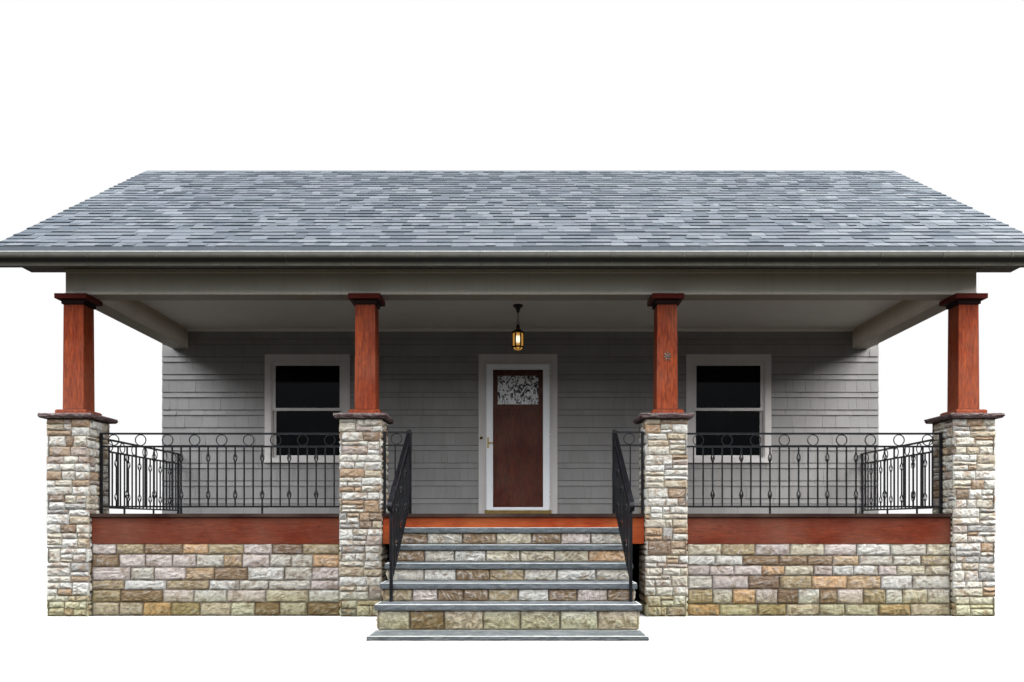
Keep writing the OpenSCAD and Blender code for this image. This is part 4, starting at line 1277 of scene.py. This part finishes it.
def petal_plate():
    """A small openwork plate on the right inner column: seven leaves that stand out round a boss, each a bent
    blade whose width is w = w0 sin(pi t) along its length t."""
    centre = np.array([column_x[2] + 0.004, COLUMN_Y - 0.1095, DECK_Z + 1.70])
    count = len(LEAF_LENGTHS)
    t = np.linspace(0.0, 1.0, 9)[None, :, None]
    across = np.array([-1.0, 0.0, 1.0])[None, None, :]
    angle = (np.arange(count) * 2 * math.pi / count + math.pi / 2)[:, None, None]
    reach = 0.008 + np.array(LEAF_LENGTHS)[:, None, None] * t
    width = LEAF_HALF_W * np.sin(math.pi * np.clip(t * 0.95 + 0.03, 0.0, 1.0)) ** 0.7 * across
    x = centre[0] + reach * np.cos(angle) - width * np.sin(angle)
    z = centre[2] + reach * np.sin(angle) + width * np.cos(angle)
    y = centre[1] - 0.004 - LEAF_BEND * np.sin(math.pi * t) + 0.004 * np.abs(across) + 0.0 * x
    points = np.stack([x, y, z], axis=-1)[:, :, ::-1]
    mesh_piece("column_plate", points, plate_metal, smooth=True)
    turned("column_boss", BOSS_PROFILE, centre, plate_metal)


petal_plate()
turned("bell_plate", BELL_PROFILE, (door_low[0] + 0.04, door_low[1], DECK_Z + 1.10), brass)

# Floor, world and lamps

FLOOR_HALF = 45.0


def seen_straight(tree):
    """1 where the camera, or clear glass in front of it, looks at the surface."""
    path = put(tree, "LightPath").outputs
    return sums("MAXIMUM", path["Is Camera Ray"], path["Is Transmission Ray"])


def studio_floor():
    """A level pale floor with the finest speckle."""
    material, shader, place = new_material("pale floor", 0.9, specular=0.1)
    pale = blend(noise(place, 6.0, 4.0), (240, 239, 237), (245, 244, 242))
    feed(shader, {"Base Color": blend(seen_straight(place.id_data), (53, 52, 48), pale)})
    line = np.linspace(-FLOOR_HALF, FLOOR_HALF, 3)
    u, v = np.meshgrid(line, line)
    grid_object("studio_floor", np.stack([u, v, 0.0 * u], axis=-1)[None], material)


def studio_world():
    """Soft light that grows with the height above the horizon, later at the sides than in front, and white
    where the camera or clear glass sees past the object."""
    world = bpy.data.worlds.new("studio")
    bpy.context.scene.world = world
    world.use_nodes = True
    tree = world.node_tree
    white = feed(tree.nodes["Background"], {"Color": (1.0, 1.0, 1.0, 1.0), "Strength": 1.0})
    way = put(tree, "TexCoord").outputs["Generated"]
    across = axis(way, 0)
    aside = times(times(across, across), 0.2)
    strength = spread(sums("SUBTRACT", axis(way, 2), aside), 0.0, 0.42, 0.2, 2.1)
    light = put(tree, "Background", {"Color": tint(238, 243, 250), "Strength": strength})
    choice = put(tree, "MixShader", {0: seen_straight(tree), 1: light.outputs[0], 2: white.outputs[0]})
    feed(tree.nodes["World Output"], {"Surface": choice.outputs[0]})


def soft_lamp(name, place, aim, size, power, colour):
    """A large soft lamp that looks at a point."""
    data = bpy.data.lights.new(name, "AREA")
    data.shape = "SQUARE"
    data.size = size
    data.energy = power
    data.color = colour
    lamp = bpy.data.objects.new(name, data)
    lamp.visible_glossy = False
    lamp.location = place
    away = np.array(place) - np.array(aim)
    lamp.rotation_euler = (math.acos(away[2] / np.linalg.norm(away)), 0.0, math.atan2(away[0], -away[1]))
    bpy.context.scene.collection.objects.link(lamp)


studio_floor()
studio_world()
soft_lamp("right_lamp", (13.0, -3.0, 10.2), (3.0, 0.0, 1.5), 8.0, 4600.0, (1.0, 0.98, 0.95))
soft_lamp("left_lamp", (-13.0, -3.0, 11.0), (-3.0, 0.0, 1.5), 7.0, 2750.0, (0.97, 0.98, 1.0))
soft_lamp("front_lamp", (0.0, -16.0, 9.6), (0.0, 0.0, 1.5), 8.0, 1480.0, (1.0, 0.99, 0.97))

bpy.context.scene.view_settings.view_transform = "Standard"
